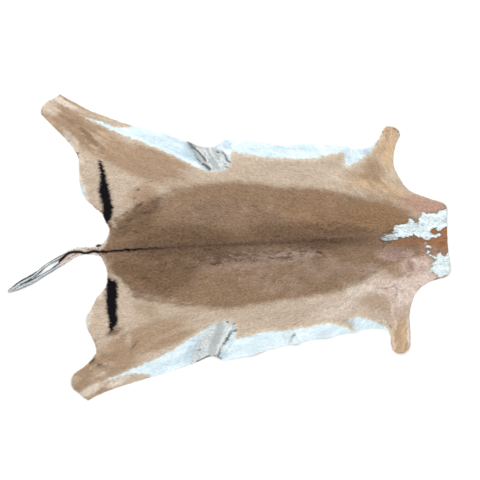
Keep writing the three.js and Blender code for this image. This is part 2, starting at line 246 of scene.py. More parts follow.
# White marks on the neck
NECK_WHITE = [
    [
        (419, 21), (429, 30), (438, 38), (450, 36), (460, 39), (470, 40), (462, 43), (455, 46),
        (463, 51), (460, 57), (468, 61), (478, 61), (483, 65), (493, 64), (500, 70), (503, 78),
        (508, 80), (513, 79), (516, 72), (521, 66), (528, 65), (530, 73), (531, 83), (537, 90),
        (540, 96), (547, 97), (556, 94), (566, 96), (576, 96), (579, 92), (584, 99), (592, 103),
        (600, 106), (610, 109), (630, 112), (630, 64), (612, 61), (601, 56), (592, 49),
        (583, 45), (580, 50), (579, 55), (571, 54), (564, 51), (562, 45), (566, 37), (573, 34),
        (579, 35), (584, 40), (593, 36), (587, 30), (575, 29), (563, 27), (559, 21), (550, 19),
        (543, 23), (538, 29), (529, 28), (524, 33), (516, 36), (504, 32), (490, 28), (476, 28),
        (467, 23), (452, 19), (434, 18),
    ],
    [(551, 4), (559, 6), (568, 1), (562, -3), (554, -3)],
    [(552, -7), (559, -8), (561, -14), (558, -21), (552, -16)],
    [(561, -19), (569, -23), (579, -28), (577, -33), (567, -28)],
    [
        (588, -11), (584, -20), (581, -33), (573, -40), (565, -46), (570, -54), (562, -61),
        (560, -70), (571, -70), (581, -75), (584, -82), (591, -84), (597, -80), (608, -77),
        (632, -70), (632, -10), (614, -10), (608, -19), (604, -28), (598, -24), (594, -17),
    ],
]

# Line of the spine
SPINE_LINE = [
    (-700, -11), (-377, -11), (-355, -15), (-338, -12), (-325, -11), (-306, -9), (-230, -4),
    (-82, 5), (10, 8), (90, 11), (150, 12), (210, 16), (300, 17), (357, 20), (422, 20), (700, 16),
]

# Soft patches of another tone, by kind: middle, radii, turn in degrees, strength
KINDS = 15
(HIND, FRONT, NECK, RUMP, SHOULDER, PINK, DARK, RUST, COLD_TINT_AND_SHADE, PALE, BROWN, MAUVE, TAN, WARM,
 ROSE) = range(KINDS)
PATCHES = {
    HIND: [  # tan of the haunches and hind legs
        (-430, 345, 160, 66, 150, 1.0), (-362, -360, 150, 64, 211, 1.0),
        (-248, 234, 180, 48, 158, 0.95), (-240, -250, 180, 44, 203, 0.7),
        (-180, 252, 110, 17, 158, 0.7), (-160, -260, 100, 17, 24, 0.7),
    ],
    FRONT: [  # tan of the front legs
        (446, 290, 80, 46, 100, 1.0), (482, -258, 76, 40, 268, 1.0), (425, 205, 90, 60, 120, 0.35),
        (488, 138, 54, 24, -24, 0.85), (350, 184, 70, 26, -10, 0.6), (424, 168, 64, 28, -22, 0.55),
        (258, -54, 110, 26, 0, 0.32), (285, -66, 100, 38, 3, 0.42),
    ],
    NECK: [  # pink of the neck
        (575, 112, 85, 40, -20, 1.0), (508, 118, 70, 28, -25, 0.6), (575, 0, 60, 50, 0, 0.6),
    ],
    RUMP: [  # cream of the rump
        (-296, 168, 80, 62, 160, 1.0), (-285, -168, 85, 56, 200, 1.0), (-385, 185, 34, 70, 0, 0.6),
        (-366, -190, 34, 70, 0, 0.8),
    ],
    SHOULDER: [  # pale pink of the right shoulder
        (528, -92, 90, 66, 150, 1.0), (452, -110, 100, 64, 165, 0.9),
        (330, -160, 130, 40, 172, 0.35),
    ],
    PINK: [  # pink cast on the back
        (40, -38, 180, 36, 4, 0.85), (190, -20, 90, 24, 8, 0.6), (-136, 84, 90, 66, 0, 0.2),
        (60, 80, 240, 60, 5, 0.3), (-150, -70, 120, 50, 0, 0.25), (-80, 215, 170, 30, 175, 0.7),
        (270, -60, 110, 44, 0, 0.6), (-40, 110, 80, 40, 0, 0.4), (130, -100, 120, 40, -3, 0.5),
    ],
    # Small dark marks of the coat, and painted shadow along parts of the cut edge and in the right
    # groin
    DARK: [  # small dark marks
        (514, 20, 46, 11, 5, 0.22), (605, 80, 5, 3, 0, 0.9), (604, 71, 5, 3, 20, 0.8),
        (580, -88, 18, 3, 8, 0.6), (604, 114, 26, 4, 150, 0.5), (-370, 170, 5, 30, 2, 0.3),
        (-322, -92, 12, 4, -30, 0.15), (-262, -112, 12, 3, 40, 0.6), (-284, -128, 10, 3, 35, 0.5),
        (-224, 86, 4, 26, -8, 0.4), (-256, 160, 10, 7, 20, 0.6), (-266, -275, 26, 6, 48, 0.5),
        (-296, -250, 24, 5, 30, 0.35), (-384, -318, 16, 6, 40, 1.0), (-364, -330, 16, 4, 30, 0.6),
        (472, 324, 5, 4, 0, 0.8), (479, 314, 4, 5, 10, 1.0), (430, 322, 4, 5, -25, 0.8),
        (452, -222, 3, 6, 10, 0.8), (446, -208, 8, 3, -40, 0.5), (-276, 78, 20, 5, 8, 0.55),
        (-290, 96, 16, 5, 40, 0.5), (-252, 118, 18, 6, 30, 0.6), (-236, 96, 26, 5, 8, 0.6),
        (-262, 140, 14, 5, 40, 0.45), (-210, 128, 16, 5, 20, 0.4), (-226, 182, 30, 4, 12, 0.4),
        (-74, -36, 14, 6, 0, 0.55), (-38, -45, 24, 6, 6, 0.75), (-33, -19, 12, 5, 0, 0.35),
        (-10, -26, 12, 5, 0, 0.35), (55, -31, 11, 5, 0, 0.5), (67, -40, 12, 5, 20, 0.5),
        (36, -36, 12, 5, 10, 0.4), (104, -15, 13, 4, 0, 0.4), (138, -31, 12, 5, 20, 0.6),
        (160, -26, 17, 4.5, 8, 0.6), (206, -12, 22, 4.5, 0, 0.6), (252, -14, 16, 6, -25, 0.85),
        (266, -24, 10, 5, 30, 0.4), (176, -252, 5, 24, -26, 0.4), (-366, 106, 30, 2.5, -33, 0.8),
        (-342, 74, 3, 20, -25, 0.8), (-458, 415, 32, 2.6, -36, 0.6), (-474, 427, 6, 3, -36, 0.9),
        (-524, 380, 4, 16, 10, 0.4), (-426, 262, 4, 20, 30, 0.5), (-374, -268, 3, 22, 10, 0.5),
        (452, 26, 20, 3, 12, 0.2), (494, 36, 16, 2.5, -10, 0.3), (-452, 296, 22, 5, 38, 0.4),
        (-424, 262, 16, 4, 50, 0.45), (452, 44, 12, 4, 20, 0.5), (551, 29, 7, 3.5, 0, 0.5),
        (350, -218, 4, 12, 10, 0.3), (-40, -290, 13, 24, 10, 0.42), (-318, 78, 10, 12, 0, 0.4),
    ],
    RUST: [  # rust brown
        (588, 30, 56, 32, 0, 1.0), (594, -10, 30, 26, 0, 0.4), (504, 16, 72, 16, 6, 0.5),
        (545, 6, 34, 20, -40, 0.25), (478, 52, 34, 14, 30, 0.5), (462, 331, 8, 4, -20, 0.9),
        (478, 306, 4, 8, 10, 0.9), (424, 310, 4, 9, -25, 0.8), (418, 298, 4, 6, -30, 0.8),
        (412, 288, 4, 7, -30, 0.7), (440, 326, 12, 3, 10, 0.5), (425, 130, 60, 26, -20, 0.22),
        (480, -295, 16, 4, 0, 0.4),
    ],
    # Bluish grey over the white hair: its own cold tint at the rump's edges, and painted shade where
    # the belly folds or lies away from the light
    COLD_TINT_AND_SHADE: [  # cold shade on the white hair
        (382, 267, 16, 10, 30, 0.9), (-190, 290, 120, 18, 158, 0.5), (150, 276, 170, 14, 0, 0.4),
        (549, 12, 5, 10, 30, 0.55), (342, -206, 12, 12, 0, 0.8), (-415, 170, 6, 56, 14, 0.55),
        (-400, -206, 7, 42, -12, 0.6), (-450, 284, 9, 50, 38, 0.75), (-106, 262, 34, 26, 140, 0.9),
        (-112, -302, 66, 22, 28, 0.6), (-98, -274, 22, 40, -24, 0.55), (-6, 288, 20, 22, 0, 0.7),
        (-16, -300, 26, 18, 30, 0.6), (-150, 300, 60, 9, -24, 0.6), (-404, 148, 8, 36, 14, 0.45),
    ],
    PALE: [  # cream
        (-350, 17, 34, 11, 58, 1.0), (-350, -36, 9, 30, 22, 0.4), (-466, 408, 44, 9, -34, 0.6),
        (-420, 384, 60, 8, -24, 0.5), (-411, 166, 13, 66, 14, 1.0), (-394, -198, 12, 60, -12, 1.0),
        (382, -124, 60, 22, 4, 0.8), (-506, 394, 42, 34, -24, 0.62), (-444, 306, 16, 50, 42, 0.6),
        (-438, -376, 30, 24, 30, 0.35), (-362, -352, 60, 26, 211, 0.25),
        (-390, -400, 54, 15, 28, 0.95), (-311, -375, 50, 13, 24, 0.95), (452, 204, 30, 24, 0, 0.2),
        (478, -128, 26, 26, 0, 0.35), (476, 290, 10, 52, 8, 0.6), (504, -240, 9, 60, 2, 0.6),
        (-432, 262, 14, 52, 38, 0.8), (-468, 408, 60, 12, -24, 0.4), (470, 205, 30, 30, 0, 0.2),
        (420, 150, 60, 18, -10, 0.15), (-358, 0, 14, 12, 0, 0.6), (-400, 138, 9, 24, 24, 0.5),
        (-359, -132, 7, 26, -30, 0.7), (-282, -256, 14, 26, 0, 0.4), (-150, 184, 50, 18, -10, 0.3),
        (268, -188, 90, 24, 8, 0.3), (350, -150, 60, 20, 6, 0.35), (352, -112, 50, 34, 0, 0.35),
        (296, 200, 80, 28, -10, 0.35), (304, -184, 80, 28, 6, 0.32),
    ],
    BROWN: [  # deeper brown
        (-432, 348, 84, 12, -30, 0.3), (-384, 302, 54, 10, -42, 0.25), (-256, 78, 70, 46, 24, 0.75),
        (-282, -98, 42, 20, -35, 0.15), (-308, 48, 34, 26, 30, 0.65), (-300, -62, 34, 24, -20, 0.5),
        (-262, -78, 84, 40, -24, 0.8), (-160, -86, 90, 56, 0, 0.65), (-216, 126, 70, 30, 26, 0.4),
        (-330, -8, 50, 46, 0, 0.2), (-240, -134, 46, 24, -20, 0.5), (190, 46, 200, 36, 3, 0.7),
        (-130, 2, 190, 84, 4, 1.0), (80, 78, 64, 34, 0, 0.3), (-316, -73, 14, 8, 0, 0.25),
        (-125, -158, 40, 14, 0, 0.3), (-332, -242, 28, 10, 20, 0.4), (345, 54, 120, 24, -2, 0.55),
        (-246, 138, 40, 20, 24, 0.35), (445, 62, 28, 18, 0, 0.45), (-190, -128, 60, 20, -10, 0.3),
        (50, -25, 110, 26, 4, 0.5), (255, 8, 90, 22, 4, 0.8), (-40, 105, 90, 40, 0, 0.4),
        (-205, 118, 34, 26, 20, 0.4), (-390, 300, 70, 30, 150, 0.22),
        (-350, -318, 60, 26, 211, 0.2), (-318, -232, 32, 16, 20, 0.45),
    ],
    MAUVE: [  # mauve brown
        (504, -52, 17, 24, 0, 0.85), (455, -16, 70, 26, 0, 0.9), (600, 96, 26, 14, -25, 0.4),
        (455, -190, 26, 14, -40, 0.4),
    ],
    TAN: [  # soft tan
        (596, -12, 16, 22, 0, 0.3), (-386, 182, 16, 50, 10, 0.3), (450, -60, 20, 12, 0, 0.5),
        (-244, 150, 64, 36, 24, 0.7), (-232, -178, 56, 30, -24, 0.55), (352, 200, 46, 20, -10, 0.6),
        (398, 158, 40, 26, -20, 0.3), (402, 212, 46, 36, 110, 0.8), (412, -152, 74, 36, -8, 0.6),
        (480, -62, 50, 28, -10, 0.95), (-160, 250, 60, 14, 158, 0.4), (430, 275, 26, 12, 60, 0.5),
        (478, -262, 15, 38, 0, 0.5), (438, -80, 42, 18, -10, 0.4),
    ],
    WARM: [  # warm brown
        (424, 132, 58, 24, -20, 0.4), (-262, -98, 60, 20, -30, 0.4), (250, 148, 90, 20, -6, 0.4),
        (410, 84, 100, 46, -8, 0.9), (240, 92, 150, 50, -6, 0.5), (330, -84, 90, 26, 10, 0.15),
        (480, 88, 66, 34, -14, 0.5),
    ],
    ROSE: [  # rose beige
        (522, -52, 54, 34, 0, 1.0), (384, -60, 50, 24, 10, 0.35), (452, -20, 60, 20, 0, 0.5),
        (470, -172, 30, 18, -30, 0.85), (508, -250, 7, 60, 2, 0.8), (500, -14, 26, 12, 0, 0.4),
        (450, -34, 24, 10, 0, 0.35), (548, -28, 14, 12, 0, 0.5),
    ],
}

# Lie of the hair: place and heading in degrees, for the left side; the right side mirrors it
LIE = [
    (-300, 0, 180), (0, 0, 180), (300, 0, 180), (450, 10, 180), (600, 20, 180),
    (-200, 120, 168), (0, 140, 163), (200, 140, 158), (300, 170, 145), (520, 120, 165),
    (-50, 250, 160), (150, 265, 165), (290, 265, 150), (430, 250, 105), (460, 320, 100),
    (380, 150, 140), (-250, 250, 157), (-390, 290, 148), (-500, 395, 148), (-350, 170, 188),
    (-400, 190, 188), (-350, 90, 196),
]
WHORLS = [((492, -134), 30), ((522, -107), 20), ((470, -60), 26)]  # middle and radius

# Length of the hair in millimetres: place and length, mirrored as above
LENGTHS = [
    (-300, 0, 10), (0, 0, 9), (300, 0, 9), (560, 0, 10), (0, 150, 10), (0, 260, 13),
    (220, 265, 13), (-200, 290, 13), (-390, 190, 12), (-450, 340, 9), (450, 300, 8),
    (480, 120, 9),
]

HAIRS = 752000.0
HAIR_WIDTH = 0.95
LONG_HAIR_WIDTH = 1.7
LONG_HAIR_HEIGHT = 6.2
LOWEST_HAIR = 0.15
COAT_SEED = 7

# Maps in plan for the coat and the tail: corner and side, in metres
COAT_MAP = ((-0.66, -0.66), 1.32)
TAIL_MAP = ((-0.63, -0.2), 0.28)

# Tail: strips of skin as rows of middle and half width, from the root on
TAIL_STRIPS = [
    ("rolled", [
        (-368.6, -10, 13), (-379, -9.5, 10.5), (-391, -10, 9.5), (-406, -9, 10.2),
        (-426, -12.5, 12), (-443, -20, 12.5), (-456, -30, 12), (-466, -37, 10), (-473, -41, 7),
    ]),
    ("round", [
        (-460, -24, 6), (-474, -30, 4.6), (-490, -39, 3.8), (-506, -47, 3.6), (-521, -58, 4),
        (-538, -73, 4.6), (-553, -88, 3),
    ]),
    ("round", [
        (-464, -42, 7), (-480, -52, 5.4), (-495, -62, 5), (-510, -71, 4.8), (-527, -82, 5),
        (-543, -91, 5), (-556, -97, 3),
    ]),
]

# Outline of a strip across its way: place in half widths, and height in millimetres
STRIP_OUTLINES = {
    "rolled": [
        (-0.8, 0), (-1, 0.6), (-1, 2.4), (-0.86, 4.4), (-0.62, 4.8), (-0.35, 2.4), (0, 1.7),
        (0.35, 2.4), (0.62, 4.8), (0.86, 4.4), (1, 2.4), (1, 0.6), (0.8, 0),
    ],
    "round": [
        (-0.7, 0), (-1, 1.4), (-0.85, 3.2), (-0.4, 4.2), (0, 4.4), (0.4, 4.2), (0.85, 3.2),
        (1, 1.4), (0.7, 0),
    ],
}

# Ways of the tail's long hair: middle and half width; hairs, their length, seed, tone of edges, whose
# dark edges carry painted shadow
TAIL_WAYS = [
    ("tail_hair_root", [
        (-364, -10, 8.5), (-391, -10, 8.5), (-406, -9, 9), (-426, -12.5, 10.5), (-443, -20, 11),
        (-456, -30, 10.5), (-467, -39, 8), (-476, -45, 5),
    ], 700, 26, 21, "dark edges"),
    ("tail_hair_left", [
        (-446, -15, 5), (-460, -23, 5), (-474, -29, 4), (-490, -38, 3.4), (-506, -46.5, 3),
        (-520, -57, 3.4), (-536, -71, 4.4), (-556, -85, 6), (-580, -99, 6.6), (-602, -113, 5.2),
        (-619, -124, 2),
    ], 560, 46, 22, "dark edges"),
    ("tail_hair_right", [
        (-450, -32, 5), (-464, -42, 6), (-480, -52.5, 4.6), (-495, -62.5, 4.2), (-510, -71.5, 4),
        (-527, -82, 4.6), (-550, -95, 6), (-576, -107, 6.4), (-600, -118, 4.4), (-619, -125.4, 1),
    ], 620, 46, 23, "pale outer edge"),
    ("tail_hair_tuft", [(-357, 5, 2.4), (-365, 5, 3), (-373, 3, 1.6)], 40, 12, 24, "dark"),
]
TUFT_EDGE = 1.2  # past the edges of the other locks, so that the tuft is dark all over

# Black line down the tail
TAIL_LINE = [
    (-300, -10), (-325, -11), (-355, -16), (-377, -11), (-402, -17), (-417, -13), (-441, -14),
    (-454, -19), (-465, -30), (-479, -42), (-492, -52),
]


# Lines and areas
def soft_line(points, steps=4, closed=False):
    """Points on a smooth curve through these points."""
    points = np.array(points, float)
    count = len(points)
    spans = count if closed else count - 1
    part = np.arange(steps)[:, None] / steps
    rows = []
    for i in range(spans):
        if closed:
            a, b, c, d = (points[(i + k) % count] for k in (-1, 0, 1, 2))
        else:
            a, b, c, d = (points[min(max(i + k, 0), count - 1)] for k in (-1, 0, 1, 2))
        rows.append(0.5 * (
            2 * b + (c - a) * part
            + (2 * a - 5 * b + 4 * c - d) * part ** 2
            + (3 * b - a - 3 * c + d) * part ** 3
        ))
    if not closed:
        rows.append(points[-1:])
    return np.concatenate(rows)


def span_distance(places, line):
    """Distance of each place from a line of points."""
    nearest = np.full(len(places), 1e9)
    for start, end in zip(line[:-1], line[1:]):
        way = end - start
        length = max(float(way @ way), 1e-12)
        share = np.clip(((places - start) @ way) / length, 0, 1)
        off = places - start - share[:, None] * way
        nearest = np.minimum(nearest, np.einsum("ij,ij->i", off, off))
    return np.sqrt(nearest)


def inside(places, loop):
    """True for each place inside a closed loop of points."""
    within = np.zeros(len(places), bool)
    for (x0, y0), (x1, y1) in zip(loop, np.roll(loop, -1, axis=0)):
        if y0 == y1:
            continue
        crosses = (y0 > places[:, 1]) != (y1 > places[:, 1])
        within ^= crosses & (places[:, 0] < x0 + (places[:, 1] - y0) * (x1 - x0) / (y1 - y0))
    return within


def depth_in(places, shapes, soften=True, reach=60):
    """How far inside the nearest shape each place lies; outside is less than nought, to -reach."""
    depth = np.full(len(places), -float(reach))
    for shape in shapes:
        loop = soft_line(shape, closed=True) if soften else np.array(shape, float)
        low, high = loop.min(axis=0) - reach, loop.max(axis=0) + reach
        near = np.flatnonzero(((places > low) & (places < high)).all(axis=1))
        if len(near):
            away = span_distance(places[near], np.vstack([loop, loop[:1]]))
            signed = np.where(inside(places[near], loop), away, -away)
            depth[near] = np.maximum(depth[near], signed)
    return depth


def rim_distance(places, loop):
    """Distance of each place from a long closed loop."""
    steps = np.linspace(0, 1, 4, endpoint=False)[:, None, None]
    dense = (loop + (np.roll(loop, -1, axis=0) - loop) * steps).reshape(-1, 2)
    tree = kdtree.KDTree(len(dense))
    for index, (x, y) in enumerate(dense):
        tree.insert((x, y, 0), index)
    tree.balance()
    return np.array([tree.find((x, y, 0))[2] for x, y in places])


def rise(value, low, high):
    """0 below low, 1 above high, and smooth between them."""
    share = np.clip((value - low) / (high - low), 0, 1)
    return share * share * (3 - 2 * share)


def chance_field(places, cell, seed):
    """Smooth random values from 0 to 1, on a square lattice of this cell."""
    place = places / cell
    low = np.floor(place).astype(np.int64)
    part = place - low
    part = part * part * (3 - 2 * part)
    total = 0
    for dx in (0, 1):
        for dy in (0, 1):
            code = (low[:, 0] + dx) * 73856093 ^ (low[:, 1] + dy) * 19349663 ^ seed * 83492791
            code = (code ^ (code >> 13)) * 1274126177 & 0x7FFFFFFF
            value = ((code ^ (code >> 15)) & 0xFFFF) / 0xFFFF
            weight_x = part[:, 0] if dx else 1 - part[:, 0]
            weight_y = part[:, 1] if dy else 1 - part[:, 1]
            total = total + value * weight_x * weight_y
    return total


def spread_between(places, rows, power=3):
    """Values given at a few places, spread smoothly over all places."""
    rows = np.array(rows, float)
    gaps = np.linalg.norm(places[:, None] - rows[None, :, :2], axis=2) + 12
    weights = gaps ** -power
    return (weights @ rows[:, 2:]) / weights.sum(axis=1, keepdims=True)


def fold_lift(places):
    """How far the folds lift the skin."""
    lift = np.zeros(len(places))
    for start, end, half, height, keep in FOLDS:
        start, way = np.array(start, float), np.subtract(end, start).astype(float)
        length = np.hypot(*way)
        off = places - start
        along = off @ way / length
        across = np.abs(off[:, 0] * way[1] - off[:, 1] * way[0]) / length
        bell = np.where(across < half, (1 + np.cos(np.pi * across / half)) / 2, 0)
        lift += height * bell * (1 - rise(along, keep * length, length))
    return lift


def wrinkle_lift(places):
    """Height of the fine wrinkles of the bare skin."""
    lift = np.zeros(len(places))
    for start, end, half, height in WRINKLES:
        line = soft_line([start, np.add(start, end) / 2 + (2.5, 1.5), end])
        lift += height * np.exp(-(span_distance(places, line) / half * 1.6) ** 2)
    return lift


# Skin
def cut_edge():
    """The solid's cut edge in plan, anticlockwise, at even steps."""
    solid = bmesh.new()
    solid.from_mesh(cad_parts["hide"].data)
    bmesh.ops.remove_doubles(solid, verts=solid.verts, dist=1e-6)
    solid.normal_update()
    links = {}
    for edge in solid.edges:
        tilts = sorted(face.normal.z for face in edge.link_faces)
        if len(tilts) == 2 and abs(tilts[0]) < 0.1 and tilts[1] > 0.3:
            a, b = edge.verts
            links.setdefault(a, []).append(b)
            links.setdefault(b, []).append(a)
    first = min(links, key=lambda vert: (vert.co.x, vert.co.y))
    chain, last = [first], None
    while True:
        ways = [vert for vert in links[chain[-1]] if vert is not last and vert is not chain[-1]]
        last = chain[-1]
        if not ways or ways[0] is first:
            break
        chain.append(ways[0])
    loop = np.array([vert.co[:2] for vert in chain]) / MM
    solid.free()
    if np.cross(loop, np.roll(loop, -1, axis=0)).sum() < 0:
        loop = loop[::-1]
    closed = np.vstack([loop, loop[:1]])
    run = np.concatenate([[0], np.cumsum(np.hypot(*np.diff(closed, axis=0).T))])
    marks = np.linspace(0, run[-1], int(run[-1] / RIM_STEP), endpoint=False)
    loop = np.stack([np.interp(marks, run, closed[:, k]) for k in (0, 1)], axis=1)
    for _ in range(3):
        loop = (np.roll(loop, 1, axis=0) + 2 * loop + np.roll(loop, -1, axis=0)) / 4
    return loop


def shifted(loop, inward):
    """The loop moved inward by so much, which may vary along it."""
    way = np.roll(loop, -1, axis=0) - np.roll(loop, 1, axis=0)
    way /= np.hypot(*way.T)[:, None]
    return loop + np.stack([-way[:, 1], way[:, 0]], axis=1) * np.reshape(inward, (-1, 1))


def lattice(loop, step, clear, keep=None):
    """Points of a triangular lattice inside the loop, clear of its edge."""
    low, high = loop.min(axis=0), loop.max(axis=0)
    rows = np.arange(low[1], high[1], step * math.sqrt(3) / 2)
    columns = np.arange(low[0], high[0], step)
    x, y = np.meshgrid(columns, rows)
    x = x + (np.arange(len(rows)) % 2)[:, None] * step / 2
    places = np.stack([x.ravel(), y.ravel()], axis=1)
    if keep is not None:
        places = places[keep(places)]
    places = places[inside(places, loop)]
    return places[rim_distance(places, loop) > clear]


def in_detail(places):
    """True where the skin needs a finer mesh: the groins, the stripes and the neck's marks."""
    fine = depth_in(places, BARE, reach=GROIN_MARGIN + 1) > -GROIN_MARGIN
    for shapes, soften in ((STRIPES, True), (NECK_WHITE, False)):
        fine |= np.abs(depth_in(places, shapes, soften, LINE_MARGIN + 1)) < LINE_MARGIN
    return fine


def filled(loop, places):
    """Triangles between a loop of points and the places inside it."""
    everything = np.vstack([loop, places])
    rim = list(range(len(loop)))
    result = geometry.delaunay_2d_cdt([tuple(p) for p in everything], [], [rim], 1, 1e-5)
    verts, _, faces, sources = result[:4]
    index = [source[0] for source in sources]
    if len(verts) != len(everything):
        raise RuntimeError(f"the edge crosses itself: {len(verts)} of {len(everything)} points")
    faces = np.array([[index[i] for i in face] for face in faces])
    a, b, c = (everything[faces[:, k]] for k in range(3))
    turned = (b[:, 0] - a[:, 0]) * (c[:, 1] - a[:, 1]) < (b[:, 1] - a[:, 1]) * (c[:, 0] - a[:, 0])
    faces[turned] = faces[turned][:, ::-1]
    return everything, faces


def new_mesh(name, places, faces):
    """A mesh from points in millimetres and faces."""
    mesh = bpy.data.meshes.new(name)
    mesh.from_pydata([tuple(p) for p in np.asarray(places) * MM], [], [list(f) for f in faces])
    mesh.update()
    return mesh


def new_piece(name, mesh):
    """An object for this mesh, at the origin."""
    piece = bpy.data.objects.new(name, mesh)
    bpy.context.scene.collection.objects.link(piece)
    return piece


def note(mesh, name, values, kind="FLOAT"):
    """Stores one value for each point of the mesh."""
    layer = mesh.attributes.new(name, kind, "POINT")
    key = "value" if kind == "FLOAT" else "vector"
    layer.data.foreach_set(key, np.asarray(values, np.float32).ravel())


def patch_tones(places):
    """Strength of each kind of soft patch."""
    tones = np.zeros((KINDS, len(places)))
    for kind, rows in PATCHES.items():
        for x, y, half_length, half_width, turn, strength in rows:
            angle = math.radians(turn)
            off = places - (x, y)
            along = off @ (math.cos(angle), math.sin(angle)) / half_length
            across = off @ (-math.sin(angle), math.cos(angle)) / half_width
            tones[kind] += strength * (1 - rise(np.hypot(along, across), 0.35, 1.15))
    return np.clip(tones, 0, 1)


def sides(y):
    """The sides on which a row counts: one if it lies on the spine, otherwise both."""
    return (1,) if y == 0 else (1, -1)


def hair_lie(places):
    """Heading of the hair, as unit vectors."""
    rows = []
    for x, y, angle in LIE:
        for side in sides(y):
            way = math.radians(angle * side)
            rows.append((x, y * side, math.cos(way), math.sin(way)))
    heading = spread_between(places, rows)
    for middle, radius in WHORLS:
        off = places - middle
        away = np.hypot(*off.T)
        swirl = np.stack([-off[:, 1], off[:, 0]], axis=1) / (away[:, None] + 1)
        weight = 1.8 * (1 - rise(away, radius * 0.5, radius))
        heading += swirl * weight[:, None]
    stray = np.stack([chance_field(places, 60, 5), chance_field(places, 60, 6)], axis=1) - 0.5
    curl = np.stack([chance_field(places, 22, 8), chance_field(places, 22, 9)], axis=1) - 0.5
    heading += stray * 0.4 + curl * patch_tones(places)[SHOULDER][:, None] * 1.8
    return heading / np.hypot(*heading.T)[:, None]


def colour_notes(places):
    """What the coat's colours depend on, at each place."""
    tones = patch_tones(places)
    spine = span_distance(places, soft_line(SPINE_LINE))
    above = places[:, 1] > np.interp(places[:, 0], *np.array(SPINE_LINE, float).T)
    curl = np.zeros((len(places), 3))
    front = np.flatnonzero(places[:, 0] > CURLS_START)
    for kind, line in CURLS:
        away = span_distance(places[front], soft_line(line))
        curl[front, kind] = np.maximum(curl[front, kind], 1 - rise(away, 0.8, 4.6))
    groin = np.zeros((len(places), 3))
    near = np.flatnonzero(depth_in(places, BARE, reach=16) > -15)
    for kind, line, half in GROIN_LINES:
        away = span_distance(places[near], soft_line(line))
        groin[near, kind] = np.maximum(groin[near, kind], 1 - rise(away, 0.3 * half, 1.4 * half))
    return {
        "saddle": depth_in(places, SADDLE),
        "belly": depth_in(places, BELLY),
        "stripe": depth_in(places, STRIPES),
        "neck_white": depth_in(places, NECK_WHITE, soften=False),
        "bare": depth_in(places, BARE),
        "groin": groin,
        "curl": curl,
        "spine": np.where(above, spine, -spine),
        "legs": tones[[HIND, FRONT, NECK]].T,
        "warmth": tones[[RUMP, SHOULDER, PINK]].T,
        "marks": tones[[DARK, RUST, COLD_TINT_AND_SHADE]].T,
        "depth": tones[[PALE, BROWN, MAUVE]].T,
        "hue": tones[[TAN, WARM, ROSE]].T,
    }


def growth_notes(places, rim):
    """What the growth of the hair depends on, at each place."""
    heading = hair_lie(places)
    haired = np.ones(len(places))
    for middle, radii in BARE_OVALS:
        haired *= rise(np.hypot(*((places - middle) / radii).T), 0.7, 1)
    bare = depth_in(places, BARE)
    from_spine = rise(np.abs(places[:, 1] - SPINE_RIDGE["y"]), 0, BACK_HALF_WIDTH)
    nap = NAP_BACK + (NAP_BELLY - NAP_BACK) * from_spine
    ridge = ((places[:, 1] - SPINE_RIDGE["y"]) / SPINE_RIDGE["half"]) ** 2
    nap += SPINE_RIDGE["height"] * np.exp(-ridge)
    nap *= 0.35 + 0.65 * rise(rim, 0, RIM_WIDTH)
    rows = [(x, y * side, length) for x, y, length in LENGTHS for side in sides(y)]
    length = spread_between(places, rows)[:, 0]
    length *= 0.5 + 0.5 * rise(rim, 1, 12)
    streak = np.zeros(len(places))
    for step in np.linspace(-COMB_HALF, COMB_HALF, COMB_STEPS):
        streak += chance_field(places + heading * step, 5.4, 11) / COMB_STEPS
    return {
        "heading": np.column_stack([heading, np.zeros(len(places))]),
        "rim": rim,
        "streak": streak,
        "nap": nap * MM,
        "hair_length": length * MM,
        "haired": haired * (1 - rise(bare, -3, 4) * 0.97),
    }


def note_coat(mesh, notes, places):
    """Stores the notes on the mesh's first points, and each point's own place as root."""
    note(mesh, "root", np.column_stack([places, np.zeros(len(places))]) * MM, "FLOAT_VECTOR")
    for name, values in notes.items():
        rest = np.zeros((len(places) - len(values), *values.shape[1:]))
        kind = "FLOAT_VECTOR" if values.ndim == 2 else "FLOAT"
        note(mesh, name, np.concatenate([values, rest]), kind)


